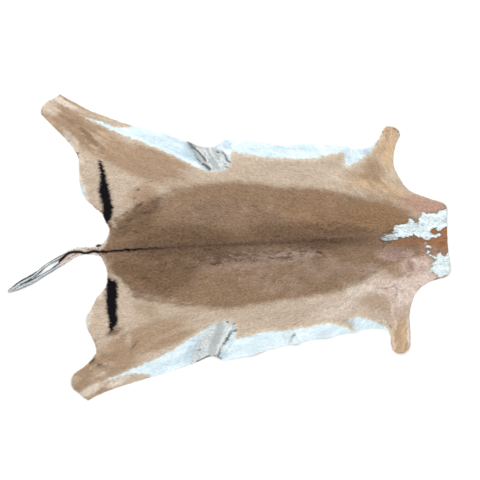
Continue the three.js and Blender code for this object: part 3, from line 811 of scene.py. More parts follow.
def build_skin():
    """The skin as a closed thin sheet, and its upper side alone for the hair to grow on."""
    edge = cut_edge()
    turn = np.arange(len(edge))
    ragged = 0.45 * np.sin(turn * 0.9) * np.sin(turn * 0.23 + 1) + 0.35 * np.sin(turn * 0.071)
    outer = shifted(edge, RIM_INSET + ragged)
    upper = shifted(outer, 0.5)
    lower = shifted(outer, 0.35)
    coarse = lattice(outer, TOP_STEP, 0.75 * TOP_STEP, lambda places: ~in_detail(places))
    fine = lattice(outer, FINE_STEP, 0.9 * FINE_STEP, in_detail)
    top_places, top_faces = filled(upper, np.vstack([coarse, fine]))
    under_places, under_faces = filled(lower, lattice(outer, UNDER_STEP, 0.6 * UNDER_STEP))
    rim = rim_distance(top_places, outer)
    skin = RIM_SKIN + (SKIN - RIM_SKIN) * rise(rim, 0, 8)
    top = np.column_stack([
        top_places,
        fold_lift(top_places) + wrinkle_lift(top_places) + skin,
    ])
    middle = np.column_stack([outer, fold_lift(outer) + RIM_SKIN * 0.5])
    under = np.column_stack([under_places, fold_lift(under_places)])
    count = len(edge)
    first_middle, first_under = len(top), len(top) + count
    ring = np.arange(count)
    after = (ring + 1) % count
    sides = np.concatenate([
        np.column_stack([ring, first_middle + ring, first_middle + after]),
        np.column_stack([ring, first_middle + after, after]),
        np.column_stack([first_middle + ring, first_under + ring, first_under + after]),
        np.column_stack([first_middle + ring, first_under + after, first_middle + after]),
    ])
    places = np.vstack([top, middle, under])
    faces = np.vstack([top_faces, sides, under_faces[:, ::-1] + first_under])
    sheet = new_mesh("skin", places, faces)
    growth = growth_notes(top_places, rim)
    note_coat(sheet, {**growth, **colour_notes(top_places)}, places[:, :2])
    sheet.polygons.foreach_set("use_smooth", [True] * len(faces))
    material = np.ones(len(faces), int)
    material[:len(top_faces)] = 0
    sheet.polygons.foreach_set("material_index", material)
    ground = new_mesh("hair ground", top, top_faces)
    ahead = growth["heading"][:, :2] * growth["hair_length"][:, None] / MM
    note_coat(ground, {**growth, **colour_notes(top_places + ahead * SEEN_SHARE)}, top_places)
    ground.polygons.foreach_set("use_smooth", [True] * len(top_faces))
    return sheet, ground


# Node trees: sums on wires add Math nodes, and any other node comes from Tree.add
class Wire:
    """The value of one socket."""

    def __init__(self, tree, socket):
        self.tree = tree
        self.socket = socket

    def math(self, operation, *values):
        """These values through one Math node."""
        return self.tree.add("ShaderNodeMath", {"operation": operation}, dict(enumerate(values)))

    def __abs__(self):
        return self.math("ABSOLUTE", self)

    def __lt__(self, other):
        return self.math("LESS_THAN", self, other)

    def between(self, low, high, to_low=0.0, to_high=1.0):
        """Smooth step from to_low at low to to_high at high."""
        return self.tree.add(
            "ShaderNodeMapRange",
            {"interpolation_type": "SMOOTHSTEP"},
            {"Value": self, "From Min": low, "From Max": high, "To Min": to_low, "To Max": to_high},
        )


def operator(operation, reflected):
    """An operator on wires, with the wire as its second value where it is reflected."""
    def joined(wire, other):
        values = (other, wire) if reflected else (wire, other)
        return wire.math(operation, *values)
    return joined


OPERATORS = {"add": "ADD", "sub": "SUBTRACT", "mul": "MULTIPLY", "truediv": "DIVIDE"}
for name, operation in OPERATORS.items():
    setattr(Wire, f"__{name}__", operator(operation, False))
    setattr(Wire, f"__r{name}__", operator(operation, True))


class Tree:
    """A node tree under construction."""

    def __init__(self, nodes):
        self.nodes = nodes

    def find(self, sockets, key):
        """A socket by its place, its identifier or its name."""
        if isinstance(key, int):
            return sockets[key]
        for socket in sockets:
            if socket.identifier == key:
                return socket
        return sockets[key]

    def add(self, kind, settings=None, values=None, output=0):
        """Adds a node with its settings and its sockets' values or links, and gives one output."""
        node = self.nodes.nodes.new(kind)
        for name, setting in (settings or {}).items():
            setattr(node, name, setting)
        for key, value in (values or {}).items():
            socket = self.find(node.inputs, key)
            if isinstance(value, Wire):
                self.nodes.links.new(value.socket, socket)
            else:
                socket.default_value = value
        if not node.outputs:
            return None
        return Wire(self, self.find(node.outputs, output))

    def other(self, wire, output):
        """Another output of the node that a wire comes from."""
        return Wire(self, self.find(wire.socket.node.outputs, output))

    def mix(self, share, a, b):
        """Colour a where share is 0 and b where it is 1."""
        values = {"Factor_Float": share, "A_Color": a, "B_Color": b}
        return self.add("ShaderNodeMix", {"data_type": "RGBA"}, values, "Result_Color")

    def layers(self, colour, layers):
        """Lays tones over a colour, each by its share."""
        for share, tint in layers:
            colour = self.mix(share, colour, tint)
        return colour

    def on_vectors(self, operation, a, b):
        """A sum on two vectors."""
        return self.add("ShaderNodeVectorMath", {"operation": operation}, {0: a, 1: b}, "Vector")

    def vector(self, x, y, z):
        """A vector from three numbers."""
        return self.add("ShaderNodeCombineXYZ", values={0: x, 1: y, 2: z})

    def scaled(self, colour, share):
        """A colour or vector times a number."""
        values = {0: colour, "Scale": share}
        return self.add("ShaderNodeVectorMath", {"operation": "SCALE"}, values, "Vector")

    def noise(self, place, size, detail=2.0, roughness=0.5, distortion=0.0):
        """Noise from 0 to 1 with features of about this size in millimetres."""
        values = {
            "Vector": place, "Scale": 1 / (size * MM), "Detail": detail,
            "Roughness": roughness, "Distortion": distortion,
        }
        return self.add("ShaderNodeTexNoise", {"noise_dimensions": "3D"}, values)

    def value_of(self, name):
        """A number stored on the mesh, in a shader."""
        return self.add("ShaderNodeAttribute", {"attribute_name": name}, output="Fac")

    def vector_of(self, name):
        """A vector stored on the mesh, in a shader."""
        return self.add("ShaderNodeAttribute", {"attribute_name": name}, output="Vector")

    def parts(self, vector):
        """The three numbers of a vector."""
        node = self.add("ShaderNodeSeparateXYZ", values={0: vector})
        return node, self.other(node, 1), self.other(node, 2)


def tone(*screen):
    """A colour from its screen values, 0 to 255."""
    shares = [value / 255 for value in screen]
    linear = [((c + 0.055) / 1.055) ** 2.4 if c > 0.04 else c / 12.92 for c in shares]
    return (*linear, 1.0)


def new_finish(name):
    """A material with its tree and its shader node."""
    material = bpy.data.materials.new(name)
    material.use_nodes = True
    shader = material.node_tree.nodes["Principled BSDF"]
    return material, Tree(material.node_tree), shader


def set_shader(tree, shader, values):
    """Sets or links the sockets of a shader."""
    for name, value in values.items():
        if isinstance(value, Wire):
            tree.nodes.links.new(value.socket, shader.inputs[name])
        else:
            shader.inputs[name].default_value = value


# Colours of the coat
FLANK = tone(200, 182, 162)
CREAM = tone(202, 184, 165)
HIND_TAN = tone(173, 146, 120)
FRONT_TAN = tone(213, 185, 152)
SHOULDER_PINK = tone(223, 204, 191)
SADDLE_BROWN = tone(152, 125, 100)
SADDLE_PINK = tone(166, 142, 125)
SPINE_BROWN = tone(114, 90, 74)
NECK_PINK = tone(197, 163, 143)
RUST_BROWN = tone(170, 122, 89)
MARK_AND_SHADOW_BROWN = tone(96, 70, 56)
DEEP_BROWN = tone(120, 95, 73)
MAUVE_BROWN = tone(170, 143, 129)
PALE_CREAM = tone(229, 217, 203)
CURL_LIGHT = tone(238, 223, 213)
CURL_DARK = tone(186, 158, 142)
CURL_SHADE = tone(148, 116, 98)
NECK_WARM = tone(156, 124, 93)
SOFT_TAN = tone(172, 144, 117)
ROSE_BEIGE = tone(214, 190, 178)
BARE_SHADE = tone(182, 189, 188)
FOLD_SHADE = tone(146, 152, 148)
LEG_ORANGE = tone(170, 142, 117)
LEG_CREAM = tone(208, 188, 164)
SPINE_DARK = tone(84, 62, 48)
BELLY_WHITE = tone(236, 248, 251)
BELLY_SHADE = tone(218, 235, 242)
HALO_CREAM = tone(226, 214, 194)
STRIPE_BLACK = tone(11, 9, 12)
STRIPE_EDGE = tone(84, 62, 50)
BARE_GREY = tone(219, 226, 227)
# Painted shadow of the groins' folds and of the hide's lower edge there, also the colour of dark
# cracks and spots
SHADOW_AND_CRACK_DARK = tone(84, 82, 84)
# Painted highlight along the ridges of the bare skin
RIDGE_HIGHLIGHT = tone(236, 238, 240)
# Bluish grey: the white hair's cold tint, and painted shade on the belly
COLD_TINT_AND_SHADE_GREY = tone(200, 219, 229)
COMBED_PALE = tone(180, 161, 150)
SNOW_WHITE = tone(238, 248, 250)
SNOW_SHADE = tone(224, 237, 240)
SNOW_GREY = tone(132, 130, 126)

# Colours of the flesh side and of the tail
SUEDE = tone(222, 212, 192)
SUEDE_SHADE = tone(204, 190, 168)
SUEDE_VEIN = tone(170, 152, 130)
TAIL_GREY = tone(164, 171, 176)
TAIL_PALE = tone(224, 232, 237)
TAIL_LILAC = tone(216, 214, 222)
TAIL_CREAM = tone(226, 216, 202)
TAIL_PINK = tone(222, 197, 181)
TAIL_ROSE = tone(202, 172, 160)
TAIL_TAN = tone(170, 144, 118)
TAIL_DARK_AND_SHADOW = tone(64, 64, 65)
TAIL_STREAK = tone(112, 112, 110)
TAIL_WHITE = tone(246, 243, 236)
TAIL_SOFT_BLACK = tone(70, 50, 40)
TAIL_BLACK = tone(12, 9, 8)


def broken(value, noise, low=0.0, high=1.0, reach=0.3):
    """The share of a soft patch, with its edge broken up by noise."""
    return (value + noise * value.between(0, reach)).between(low, high)


def coat_colour(tree):
    """The coat's colour at the seen part of each hair, and what else its finish depends on."""
    place = tree.vector_of("root")
    forward, _, _ = tree.parts(place)
    saddle, belly, stripe = (tree.value_of(name) for name in ("saddle", "belly", "stripe"))
    neck_white, bare, spine = (tree.value_of(name) for name in ("neck_white", "bare", "spine"))
    hind, front, neck = tree.parts(tree.vector_of("legs"))
    rump, shoulder, pink = tree.parts(tree.vector_of("warmth"))
    dark, rust, cold = tree.parts(tree.vector_of("marks"))
    pale, brown, mauve = tree.parts(tree.vector_of("depth"))
    tan, warm, rose = tree.parts(tree.vector_of("hue"))
    # Painted fold shade, painted shadow lines with dark cracks, and painted highlights on the ridges
    shade, shadow_and_crack, ridge = tree.parts(tree.vector_of("groin"))
    pale_curl, dark_curl, _ = tree.parts(tree.vector_of("curl"))
    blotch = tree.noise(place, 34, 3) - 0.5
    fringe = tree.noise(place, 8, 3, 0.65) - 0.5
    grain = tree.noise(place, 3.2, 1, 0.5) - 0.5
    combed = tree.on_vectors("MULTIPLY", place, (0.3, 1, 1))
    spikes = tree.noise(combed, 5, 2, 0.6) - 0.5
    mottle = tree.noise(combed, 12, 3, 0.65) - 0.5
    streak = tree.value_of("streak") - 0.5
    ragged = blotch * 0.5 + fringe * 0.6

    # Rump and flanks, legs, and the curls of the right shoulder
    on_leg = hind * forward.between(-0.37, -0.30, 1.0, 0.0)
    lines = streak + fringe * 0.12
    curls = tree.noise(place, 22, 1.5, 0.5, 1.6) - 0.5
    curling = (shoulder - 0.15).between(0.0, 0.5)
    colour = tree.layers(tree.mix(rump, FLANK, CREAM), [
        ((hind + ragged * 0.5).between(0.05, 0.8) * 0.95, HIND_TAN),
        (on_leg * lines.between(-0.15, 0.02, 0.7, 0.0), LEG_ORANGE),
        (on_leg * lines.between(-0.02, 0.15) * 0.7, LEG_CREAM),
        (front, FRONT_TAN),
        (front * lines.between(-0.14, 0.04, 0.55, 0.0), LEG_ORANGE),
        (shoulder, SHOULDER_PINK),
        (curling * abs(curls).between(0.0, 0.05, 0.7, 0.0), CURL_LIGHT),
        (curling * abs(curls - 0.09).between(0.0, 0.05, 0.5, 0.0), CURL_DARK),
    ])

    # Saddle, and the soft patches on it and around it
    rear = forward.between(-0.33, 0.02, 1.0, 0.0)
    border = saddle + blotch * (rear * 30 + 16) + fringe * 11 + mottle * (rear * 100 + 16)
    over = (border / (rear * 1.9 + 1.0)).between(-11, 11)
    saddle_tone = tree.mix((pink + blotch * 1.5).between(0.0, 1.0), SADDLE_BROWN, SADDLE_PINK)
    colour = tree.layers(colour, [
        (over * shoulder.between(0.2, 1.0, 1.0, 0.25), saddle_tone),
        (broken(brown, blotch * 0.9 + mottle * 0.9, 0.0, 0.9) * 0.9, DEEP_BROWN),
        (broken(pale, ragged * 0.9) * 0.85, PALE_CREAM),
        (broken(neck, ragged * 0.5, 0.05, 0.95), NECK_PINK),
        (broken(warm, blotch * 0.6, 0.0, 0.9) * 0.9, NECK_WARM),
        (broken(tan, ragged * 0.5) * 0.9, SOFT_TAN),
        (broken(rose, ragged * 0.6) * 0.9, ROSE_BEIGE),
        (broken(mauve, ragged) * 0.8, MAUVE_BROWN),
        (broken(pale_curl, fringe * 1.2, 0.2, 0.8) * 0.5, CURL_LIGHT),
        (broken(dark_curl, fringe * 1.2, 0.2, 0.8) * 0.42, CURL_SHADE),
        (broken(rust, ragged * 1.2, 0.1, 0.7), RUST_BROWN),
    ])

    # Dark line of the spine, black line towards the tail, and the combed marks beside them
    reach = forward.between(0.34, 0.47, 1.0, 0.0)
    near_spine = abs(spine + fringe * 12).between(3, 40, 0.45, 0.0) * reach
    near_spine = near_spine * forward.between(-0.34, -0.26, 0.3, 1.0)
    fade = forward.between(-0.24, -0.1, 1.0, 0.6) * forward.between(0.0, 0.26, 1.0, 0.85) * reach
    broad = forward.between(-0.06, 0.26, 1.0, 2.3)
    spine_line = (abs(spine - broad * 2 + 3 + fringe * 7) / broad).between(0.5, 6.0, 1.0, 0.0)
    tail_line = (abs(spine) + fringe * 2).between(1.5, 3.2, 1.0, 0.0)
    marks = spikes * 0.7 + mottle * 0.9
    combed_band = pink * spine.between(-62, -36) * spine.between(-14, -5, 1.0, 0.0)
    colour = tree.layers(colour, [
        (near_spine, SPINE_BROWN),
        (spine_line * fade, SPINE_DARK),
        (tail_line * forward.between(-0.27, -0.18, 1.0, 0.0), STRIPE_BLACK),
        (combed_band * marks.between(0.0, 0.12) * 0.55, COMBED_PALE),
        (combed_band * marks.between(-0.12, -0.02, 1.0, 0.0), SPINE_BROWN),
    ])

    # White belly with its cream border and its bluish grey, partly painted shade, and the white marks
    # of the neck
    halo = (belly + fringe * 9).between(-15, -1) * forward.between(-0.1, 0.06, 0.2, 0.58)
    white = tree.mix(tree.value_of("streak").between(0.3, 0.7), BELLY_SHADE, BELLY_WHITE)
    torn = neck_white + fringe * 9 + grain * 6 - spikes * forward.between(0.46, 0.5, 22.0, 4.0)
    snow = tree.mix((streak + fringe * 0.4).between(-0.1, 0.06), SNOW_SHADE, SNOW_WHITE)
    grey_tip = forward.between(0.436, 0.49, 1.0, 0.0) * (spikes + grain * 0.6).between(-0.16, 0.08)
    colour = tree.layers(colour, [
        (halo, HALO_CREAM),
        ((belly + fringe * 8).between(-2.5, 3.5), white),
        (broken(cold, fringe * 1.4, 0.2, 0.8), COLD_TINT_AND_SHADE_GREY),
        # A dark rim round the white marks of the neck: brown at their edge, with painted shade among
        # the hairs there
        (torn.between(-5.0, -0.8) * forward.between(0.46, 0.54, 0.6, 0.45), SPINE_DARK),
        (torn.between(-0.7, 0.7), tree.mix(grey_tip, snow, SNOW_GREY)),
    ])

    # Small dark marks, painted shadow along parts of the cut edge and in the right groin, and the
    # black stripes of the rump
    edge = stripe + spikes * 15 + grain * 6
    colour = tree.layers(colour, [
        (broken(dark, fringe * 1.8, 0.1, 0.7) * 0.85, MARK_AND_SHADOW_BROWN),
        (edge.between(-7, 0.5) * 0.6, STRIPE_EDGE),
        (edge.between(-2.2, 1.4), STRIPE_BLACK),
    ])

    # Bare skin of the groins, with painted fold shade, painted shadow lines with dark cracks and
    # spots, and painted highlights along its ridges
    bareness = (bare + fringe * 8).between(-2, 3)
    crinkle = tree.noise(place, 5, 3, 0.7, 0.6) - 0.5
    skin = tree.mix((crinkle + blotch * 0.4).between(-0.14, 0.1), BARE_SHADE, BARE_GREY)
    colour = tree.layers(colour, [
        (bareness, skin),
        (broken(shade, crinkle * 1.2 + blotch * 0.5, 0.0, 1.1) * 0.52, FOLD_SHADE),
        (broken(shadow_and_crack, crinkle * 2.2 + grain * 1.6, 0.2, 0.9, 0.2) * 0.85, SHADOW_AND_CRACK_DARK),
        (broken(ridge, crinkle * 4.2 + grain * 3.0, 0.2, 1.0, 0.2) * 0.8, RIDGE_HIGHLIGHT),
    ])

    whiteness = (belly - 2).between(-3, 3)
    texture = blotch * 0.22 + fringe * 0.45 + grain * 1.0 + mottle * 0.3
    texture = texture * (0.6 + over * 0.75 + brown * 1.0) * (1.0 - whiteness * 0.75)
    texture = texture * (1.0 - front * 0.4)
    return colour, bareness, texture, grain, place, whiteness


def hair_finish():
    """Short glossy hair; each hair has its own tone, and painted shade darkens it towards its root.
    """
    material, tree, shader = new_finish("short hair")
    colour, _, texture, grain, _, whiteness = coat_colour(tree)
    strand, along = tree.value_of("strand"), tree.value_of("along")
    streak = tree.value_of("streak")
    own = ((strand - 0.5) * 0.55 + (streak - 0.5) * 0.4) * (1.0 - whiteness * 0.5)
    # Painted shade: each hair is darker towards its root, where the hairs shade each other
    light = 1.0 + own + texture + along.between(0, 0.7, -0.2, 0.08)
    roughness = 0.66 + grain * 0.2 + (strand - 0.5) * 0.15
    set_shader(tree, shader, {
        "Base Color": tree.scaled(colour, light),
        "Roughness": roughness,
        "Specular IOR Level": 0.1,
    })
    return material


def hair_ground_finish():
    """Skin on the hair side, in the hair's own colours darkened as painted shade under the hair and
    lighter where it is bare, with fine wrinkles where it is bare.
    """
    material, tree, shader = new_finish("skin under the hair")
    colour, bareness, texture, grain, place, _ = coat_colour(tree)
    wrinkle = tree.noise(place, 5, 4, 0.65, 0.8)
    # Painted shade under the hair; where the skin is bare it is lighter
    light = bareness * 0.14 + 0.82 + texture * 0.8
    bump = tree.add("ShaderNodeBump", values={
        "Strength": 0.6, "Distance": 0.0016, "Height": wrinkle,
    })
    set_shader(tree, shader, {
        "Base Color": tree.scaled(colour, light),
        "Roughness": 0.7 + grain * 0.2,
        "Specular IOR Level": 0.3,
        "Normal": bump,
    })
    return material


def flesh_finish():
    """The suede flesh side."""
    material, tree, shader = new_finish("suede flesh side")
    place = tree.vector_of("root")
    cloud = tree.noise(place, 60, 4, 0.6)
    fuzz = tree.noise(place, 1.6, 3, 0.7)
    vein = abs(tree.noise(place, 55, 2, 0.5, 1.2) - 0.5).between(0.0, 0.02, 1.0, 0.0)
    colour = tree.mix(cloud.between(0.3, 0.7), SUEDE, SUEDE_SHADE)
    colour = tree.mix(vein * 0.18, colour, SUEDE_VEIN)
    bump = tree.add("ShaderNodeBump", values={"Strength": 0.4, "Distance": 0.0006, "Height": fuzz})
    set_shader(tree, shader, {
        "Base Color": tree.scaled(colour, 0.9 + fuzz * 0.2),
        "Roughness": 0.95,
        "Specular IOR Level": 0.15,
        "Normal": bump,
    })
    return material


# Geometry trees
def geometry_tree(name, sizes):
    """A geometry tree with named inputs, and a wire for each of them."""
    nodes = bpy.data.node_groups.new(name, "GeometryNodeTree")
    kinds = {"Geometry": "Geometry", **sizes}
    for label, kind in kinds.items():
        nodes.interface.new_socket(name=label, in_out="INPUT", socket_type=f"NodeSocket{kind}")
    nodes.interface.new_socket(name="Geometry", in_out="OUTPUT", socket_type="NodeSocketGeometry")
    tree = Tree(nodes)
    first = tree.add("NodeGroupInput", output="Geometry")
    return tree, {label: tree.other(first, label) for label in kinds}


def end_tree(tree, geometry_wire, material):
    """Ends a tree in Realize Instances and Set Material, with every hair above the floor."""
    whole = tree.add("GeometryNodeRealizeInstances", values={"Geometry": geometry_wire})
    x, y, z = tree.parts(tree.add("GeometryNodeInputPosition"))
    above = tree.vector(x, y, z.math("MAXIMUM", z, LOWEST_HAIR * MM))
    whole = tree.add("GeometryNodeSetPosition", values={"Geometry": whole, "Position": above})
    done = tree.add("GeometryNodeSetMaterial", values={"Geometry": whole, "Material": material})
    tree.add("NodeGroupOutput", values={"Geometry": done})


def stored(tree, name, kind="FLOAT"):
    """An attribute read inside a geometry tree."""
    return tree.add(
        "GeometryNodeInputNamedAttribute", {"data_type": kind}, {"Name": name}, "Attribute"
    )


def store(tree, geometry_wire, name, value, kind="FLOAT"):
    """Stores a value on the points of a geometry."""
    return tree.add(
        "GeometryNodeStoreNamedAttribute", {"data_type": kind, "domain": "POINT"},
        {"Geometry": geometry_wire, "Name": name, "Value": value},
    )


def random_value(tree, low, high, seed, offset):
    """A random number for each point; the offset keeps draws from one seed apart."""
    return tree.add(
        "FunctionNodeRandomValue", {"data_type": "FLOAT"},
        {"Min_001": low, "Max_001": high, "Seed": seed + offset}, "Value_001",
    )


def store_draws(tree, points, draws, seed, first):
    """Stores random numbers on points: the name, lowest and highest value of each draw."""
    for offset, (name, low, high) in enumerate(draws, first):
        points = store(tree, points, name, random_value(tree, low, high, seed, offset))
    return points


def grown(host, tree, settings, name):
    """Runs a tree on an object and returns the result as a plain piece."""
    modifier = host.modifiers.new("grow", "NODES")
    modifier.node_group = tree.nodes
    for item in tree.nodes.interface.items_tree:
        if item.in_out == "INPUT" and item.name in settings:
            modifier[item.identifier] = settings[item.name]
    depsgraph = bpy.context.evaluated_depsgraph_get()
    mesh = bpy.data.meshes.new_from_object(
        host.evaluated_get(depsgraph), preserve_all_data_layers=True, depsgraph=depsgraph
    )
    host.modifiers.remove(modifier)
    mesh.name = name
    if mesh.materials[0] is None:
        mesh.materials.pop(index=0)
    return new_piece(name, mesh)


def lay_map(piece, corner, side):
    """A map of the piece in plan, on which its finish can be laid."""
    mesh = piece.data
    places = np.empty(len(mesh.vertices) * 3, np.float32)
    mesh.vertices.foreach_get("co", places)
    corners = np.empty(len(mesh.loops), np.int32)
    mesh.loops.foreach_get("vertex_index", corners)
    flat = (places.reshape(-1, 3)[:, :2] - corner) / side
    layer = mesh.uv_layers.new(name="OFBake")
    layer.data.foreach_set("uv", np.clip(flat, 0, 1)[corners].astype(np.float32).ravel())


def coat_tree(material):
    """Short hairs on a skin, each a small bent leaf that lies along the heading."""
    tree, given = geometry_tree("short coat", {
        "Hair": "Object", "Amount": "Float", "Width": "Float", "From": "Float", "To": "Float",
        "Seed": "Int",
    })
    points = tree.add(
        "GeometryNodeDistributePointsOnFaces", {"distribute_method": "RANDOM"},
        {"Mesh": given["Geometry"], "Density": given["Amount"] * stored(tree, "haired"),
         "Seed": given["Seed"]},
        "Points",
    )
    normal = tree.other(points, "Normal")
    points = store(tree, points, "upward", normal, "FLOAT_VECTOR")
    points = store_draws(tree, points, [
        ("strand", 0.0, 1.0), ("stretch", 0.75, 1.2), ("breadth", 0.7, 1.3), ("loft", 0.5, 1.0),
        ("stray", -1.0, 1.0),
    ], given["Seed"], 1)
    place = tree.add("GeometryNodeInputPosition")
    forward, _, _ = tree.parts(place)
    outside = tree.add(
        "FunctionNodeBooleanMath", {"operation": "OR"},
        {0: forward < given["From"], 1: 1.0 - (forward < given["To"])},
    )
    points = tree.add(
        "GeometryNodeDeleteGeometry", {"domain": "POINT"},
        {"Geometry": points, "Selection": outside},
    )
    clump = tree.noise(place, 10, 2, 0.6) - 0.5
    lean = clump * 2.2 + stored(tree, "stray") * 0.18
    tuft = tree.noise(place, 7, 2, 0.6).between(0.32, 0.66, 0.55, 1.1)
    ahead, aside, _ = tree.parts(stored(tree, "heading", "FLOAT_VECTOR"))
    upright = tree.add(
        "FunctionNodeAlignRotationToVector", {"axis": "Z"},
        {"Vector": stored(tree, "upward", "FLOAT_VECTOR")},
    )
    turned = tree.add(
        "FunctionNodeAlignRotationToVector", {"axis": "X", "pivot_axis": "Z"},
        {"Rotation": upright, "Vector": tree.vector(ahead - aside * lean, aside + ahead * lean, 0.0)},
    )
    scale = tree.vector(
        stored(tree, "hair_length") * stored(tree, "stretch"),
        given["Width"] * stored(tree, "breadth"),
        stored(tree, "nap") * stored(tree, "loft") * tuft,
    )
    hair = tree.add(
        "GeometryNodeObjectInfo", {"transform_space": "ORIGINAL"}, {"Object": given["Hair"]},
        "Geometry",
    )
    hairs = tree.add(
        "GeometryNodeInstanceOnPoints",
        values={"Points": points, "Instance": hair, "Rotation": turned, "Scale": scale},
    )
    end_tree(tree, hairs, material)
    return tree


# Tail
def build_tail():
    """The split strip of skin under the tail's hair, as closed strips."""
    places, faces = [], []
    for outline, rows in TAIL_STRIPS:
        ring = np.array(STRIP_OUTLINES[outline], float)
        line = soft_line(rows, 5)
        way = np.gradient(line[:, :2], axis=0)
        way /= np.hypot(*way.T)[:, None]
        aside = np.stack([-way[:, 1], way[:, 0]], axis=1)
        first, count = len(places), len(ring)
        for (x, y, half), (side_x, side_y) in zip(line, aside):
            for off, height in ring:
                places.append((x + side_x * off * half, y + side_y * off * half, height))
        for station in range(len(line) - 1):
            for k in range(count):
                a = first + station * count + k
                b = first + station * count + (k + 1) % count
                faces.append((a, b, b + count, a + count))
        faces.append(tuple(range(first + count - 1, first - 1, -1)))
        faces.append(tuple(range(len(places) - count, len(places))))
    mesh = new_mesh("tail skin", places, faces)
    note(mesh, "root", np.array(places) * MM, "FLOAT_VECTOR")
    note_line(mesh, np.zeros(len(places)))
    fix = bmesh.new()
    fix.from_mesh(mesh)
    bmesh.ops.recalc_face_normals(fix, faces=fix.faces)
    fix.to_mesh(mesh)
    fix.free()
    mesh.polygons.foreach_set("use_smooth", [True] * len(mesh.polygons))
    return mesh


def tail_colour(tree, strand, streak, edge):
    """Grey and cream hair with a black line along the middle and pinkish beige beside it; painted
    shadow darkens the edges of the locks, and the dark tuft takes the same dark as its own colour.
    """
    forward, _, _ = tree.parts(tree.vector_of("root"))
    line, beside = tree.value_of("line"), tree.value_of("beside")
    fringe = tree.noise(tree.vector_of("root"), 5, 2, 0.6) - 0.5
    below = beside.between(-2, 2)
    lilac = edge.between(-0.9, -0.3, 1.0, 0.0) * forward.between(-0.51, -0.49, 1.0, 0.0)
    middle = forward.between(-0.485, -0.462)
    off_tuft = 1.0 - edge.between(1.05, 1.15)
    # Painted shadow along the edges of the locks and at the tip; the tuft's edge value puts the same
    # dark over all of it as its own colour
    rough_edge = edge + fringe * 1.4
    rim = rough_edge.between(0.42, 0.7) * (1.0 - middle * off_tuft * 0.45)
    tip = forward.between(-0.575, -0.525, 0.55, 0.0)
    rim = rim * 0.9 + tip * rough_edge.between(0.2, 0.6) * 0.5
    ends = forward.between(-0.505, -0.485)
    return tree.layers(tree.mix(strand.between(0.1, 0.8), TAIL_GREY, TAIL_PALE), [
        (lilac * 0.8, TAIL_LILAC),
        (middle * 0.85, tree.mix(below, TAIL_CREAM, TAIL_PINK)),
        (forward.between(-0.41, -0.392) * (1.0 - below) * 0.8, TAIL_ROSE),
        (forward.between(-0.372, -0.354) * off_tuft * 0.9, TAIL_TAN),
        (rim.between(0.0, 1.0), TAIL_DARK_AND_SHADOW),
        (streak.between(0.52, 0.64) * 0.7, TAIL_STREAK),
        (streak.between(0.36, 0.46, 1.0, 0.0) * middle * 0.7, TAIL_WHITE),
        ((line + fringe * 4).between(3.4, 6.5, 0.55, 0.0) * ends, TAIL_SOFT_BLACK),
        ((line + fringe * 3).between(2.2, 4.0, 1.0, 0.0) * ends, TAIL_BLACK),
    ])


def tail_finish(name, haired):
    """Finish of the tail's hair, or of the skin under it."""
    material, tree, shader = new_finish(name)
    place = tree.vector_of("root")
    edge = tree.value_of("edge")
    if haired:
        side, way = tree.value_of("side"), tree.value_of("start")
        lane = tree.vector(side * 0.006, way * 0.01, 0.0)
        strand, streak = tree.value_of("strand"), tree.noise(lane, 2.4, 1, 0.5)
    else:
        strand = streak = tree.noise(place, 5, 3, 0.6)
    light = 0.8 + strand * 0.34
    set_shader(tree, shader, {
        "Base Color": tree.scaled(tail_colour(tree, strand, streak, edge), light),
        "Roughness": 0.5 + strand * 0.2,
        "Specular IOR Level": 0.2,
    })
    return material


def note_line(mesh, edge):
    """Stores each point's distance from the tail's black line, its side, and its edge value."""
    places = np.empty(len(mesh.vertices) * 3, np.float32)
    mesh.vertices.foreach_get("co", places)
    places = places.reshape(-1, 3)[:, :2] / MM
    line = soft_line(TAIL_LINE)[::-1]
    note(mesh, "line", span_distance(places, line))
    note(mesh, "beside", np.interp(places[:, 0], *line.T) - places[:, 1])
    note(mesh, "edge", edge)


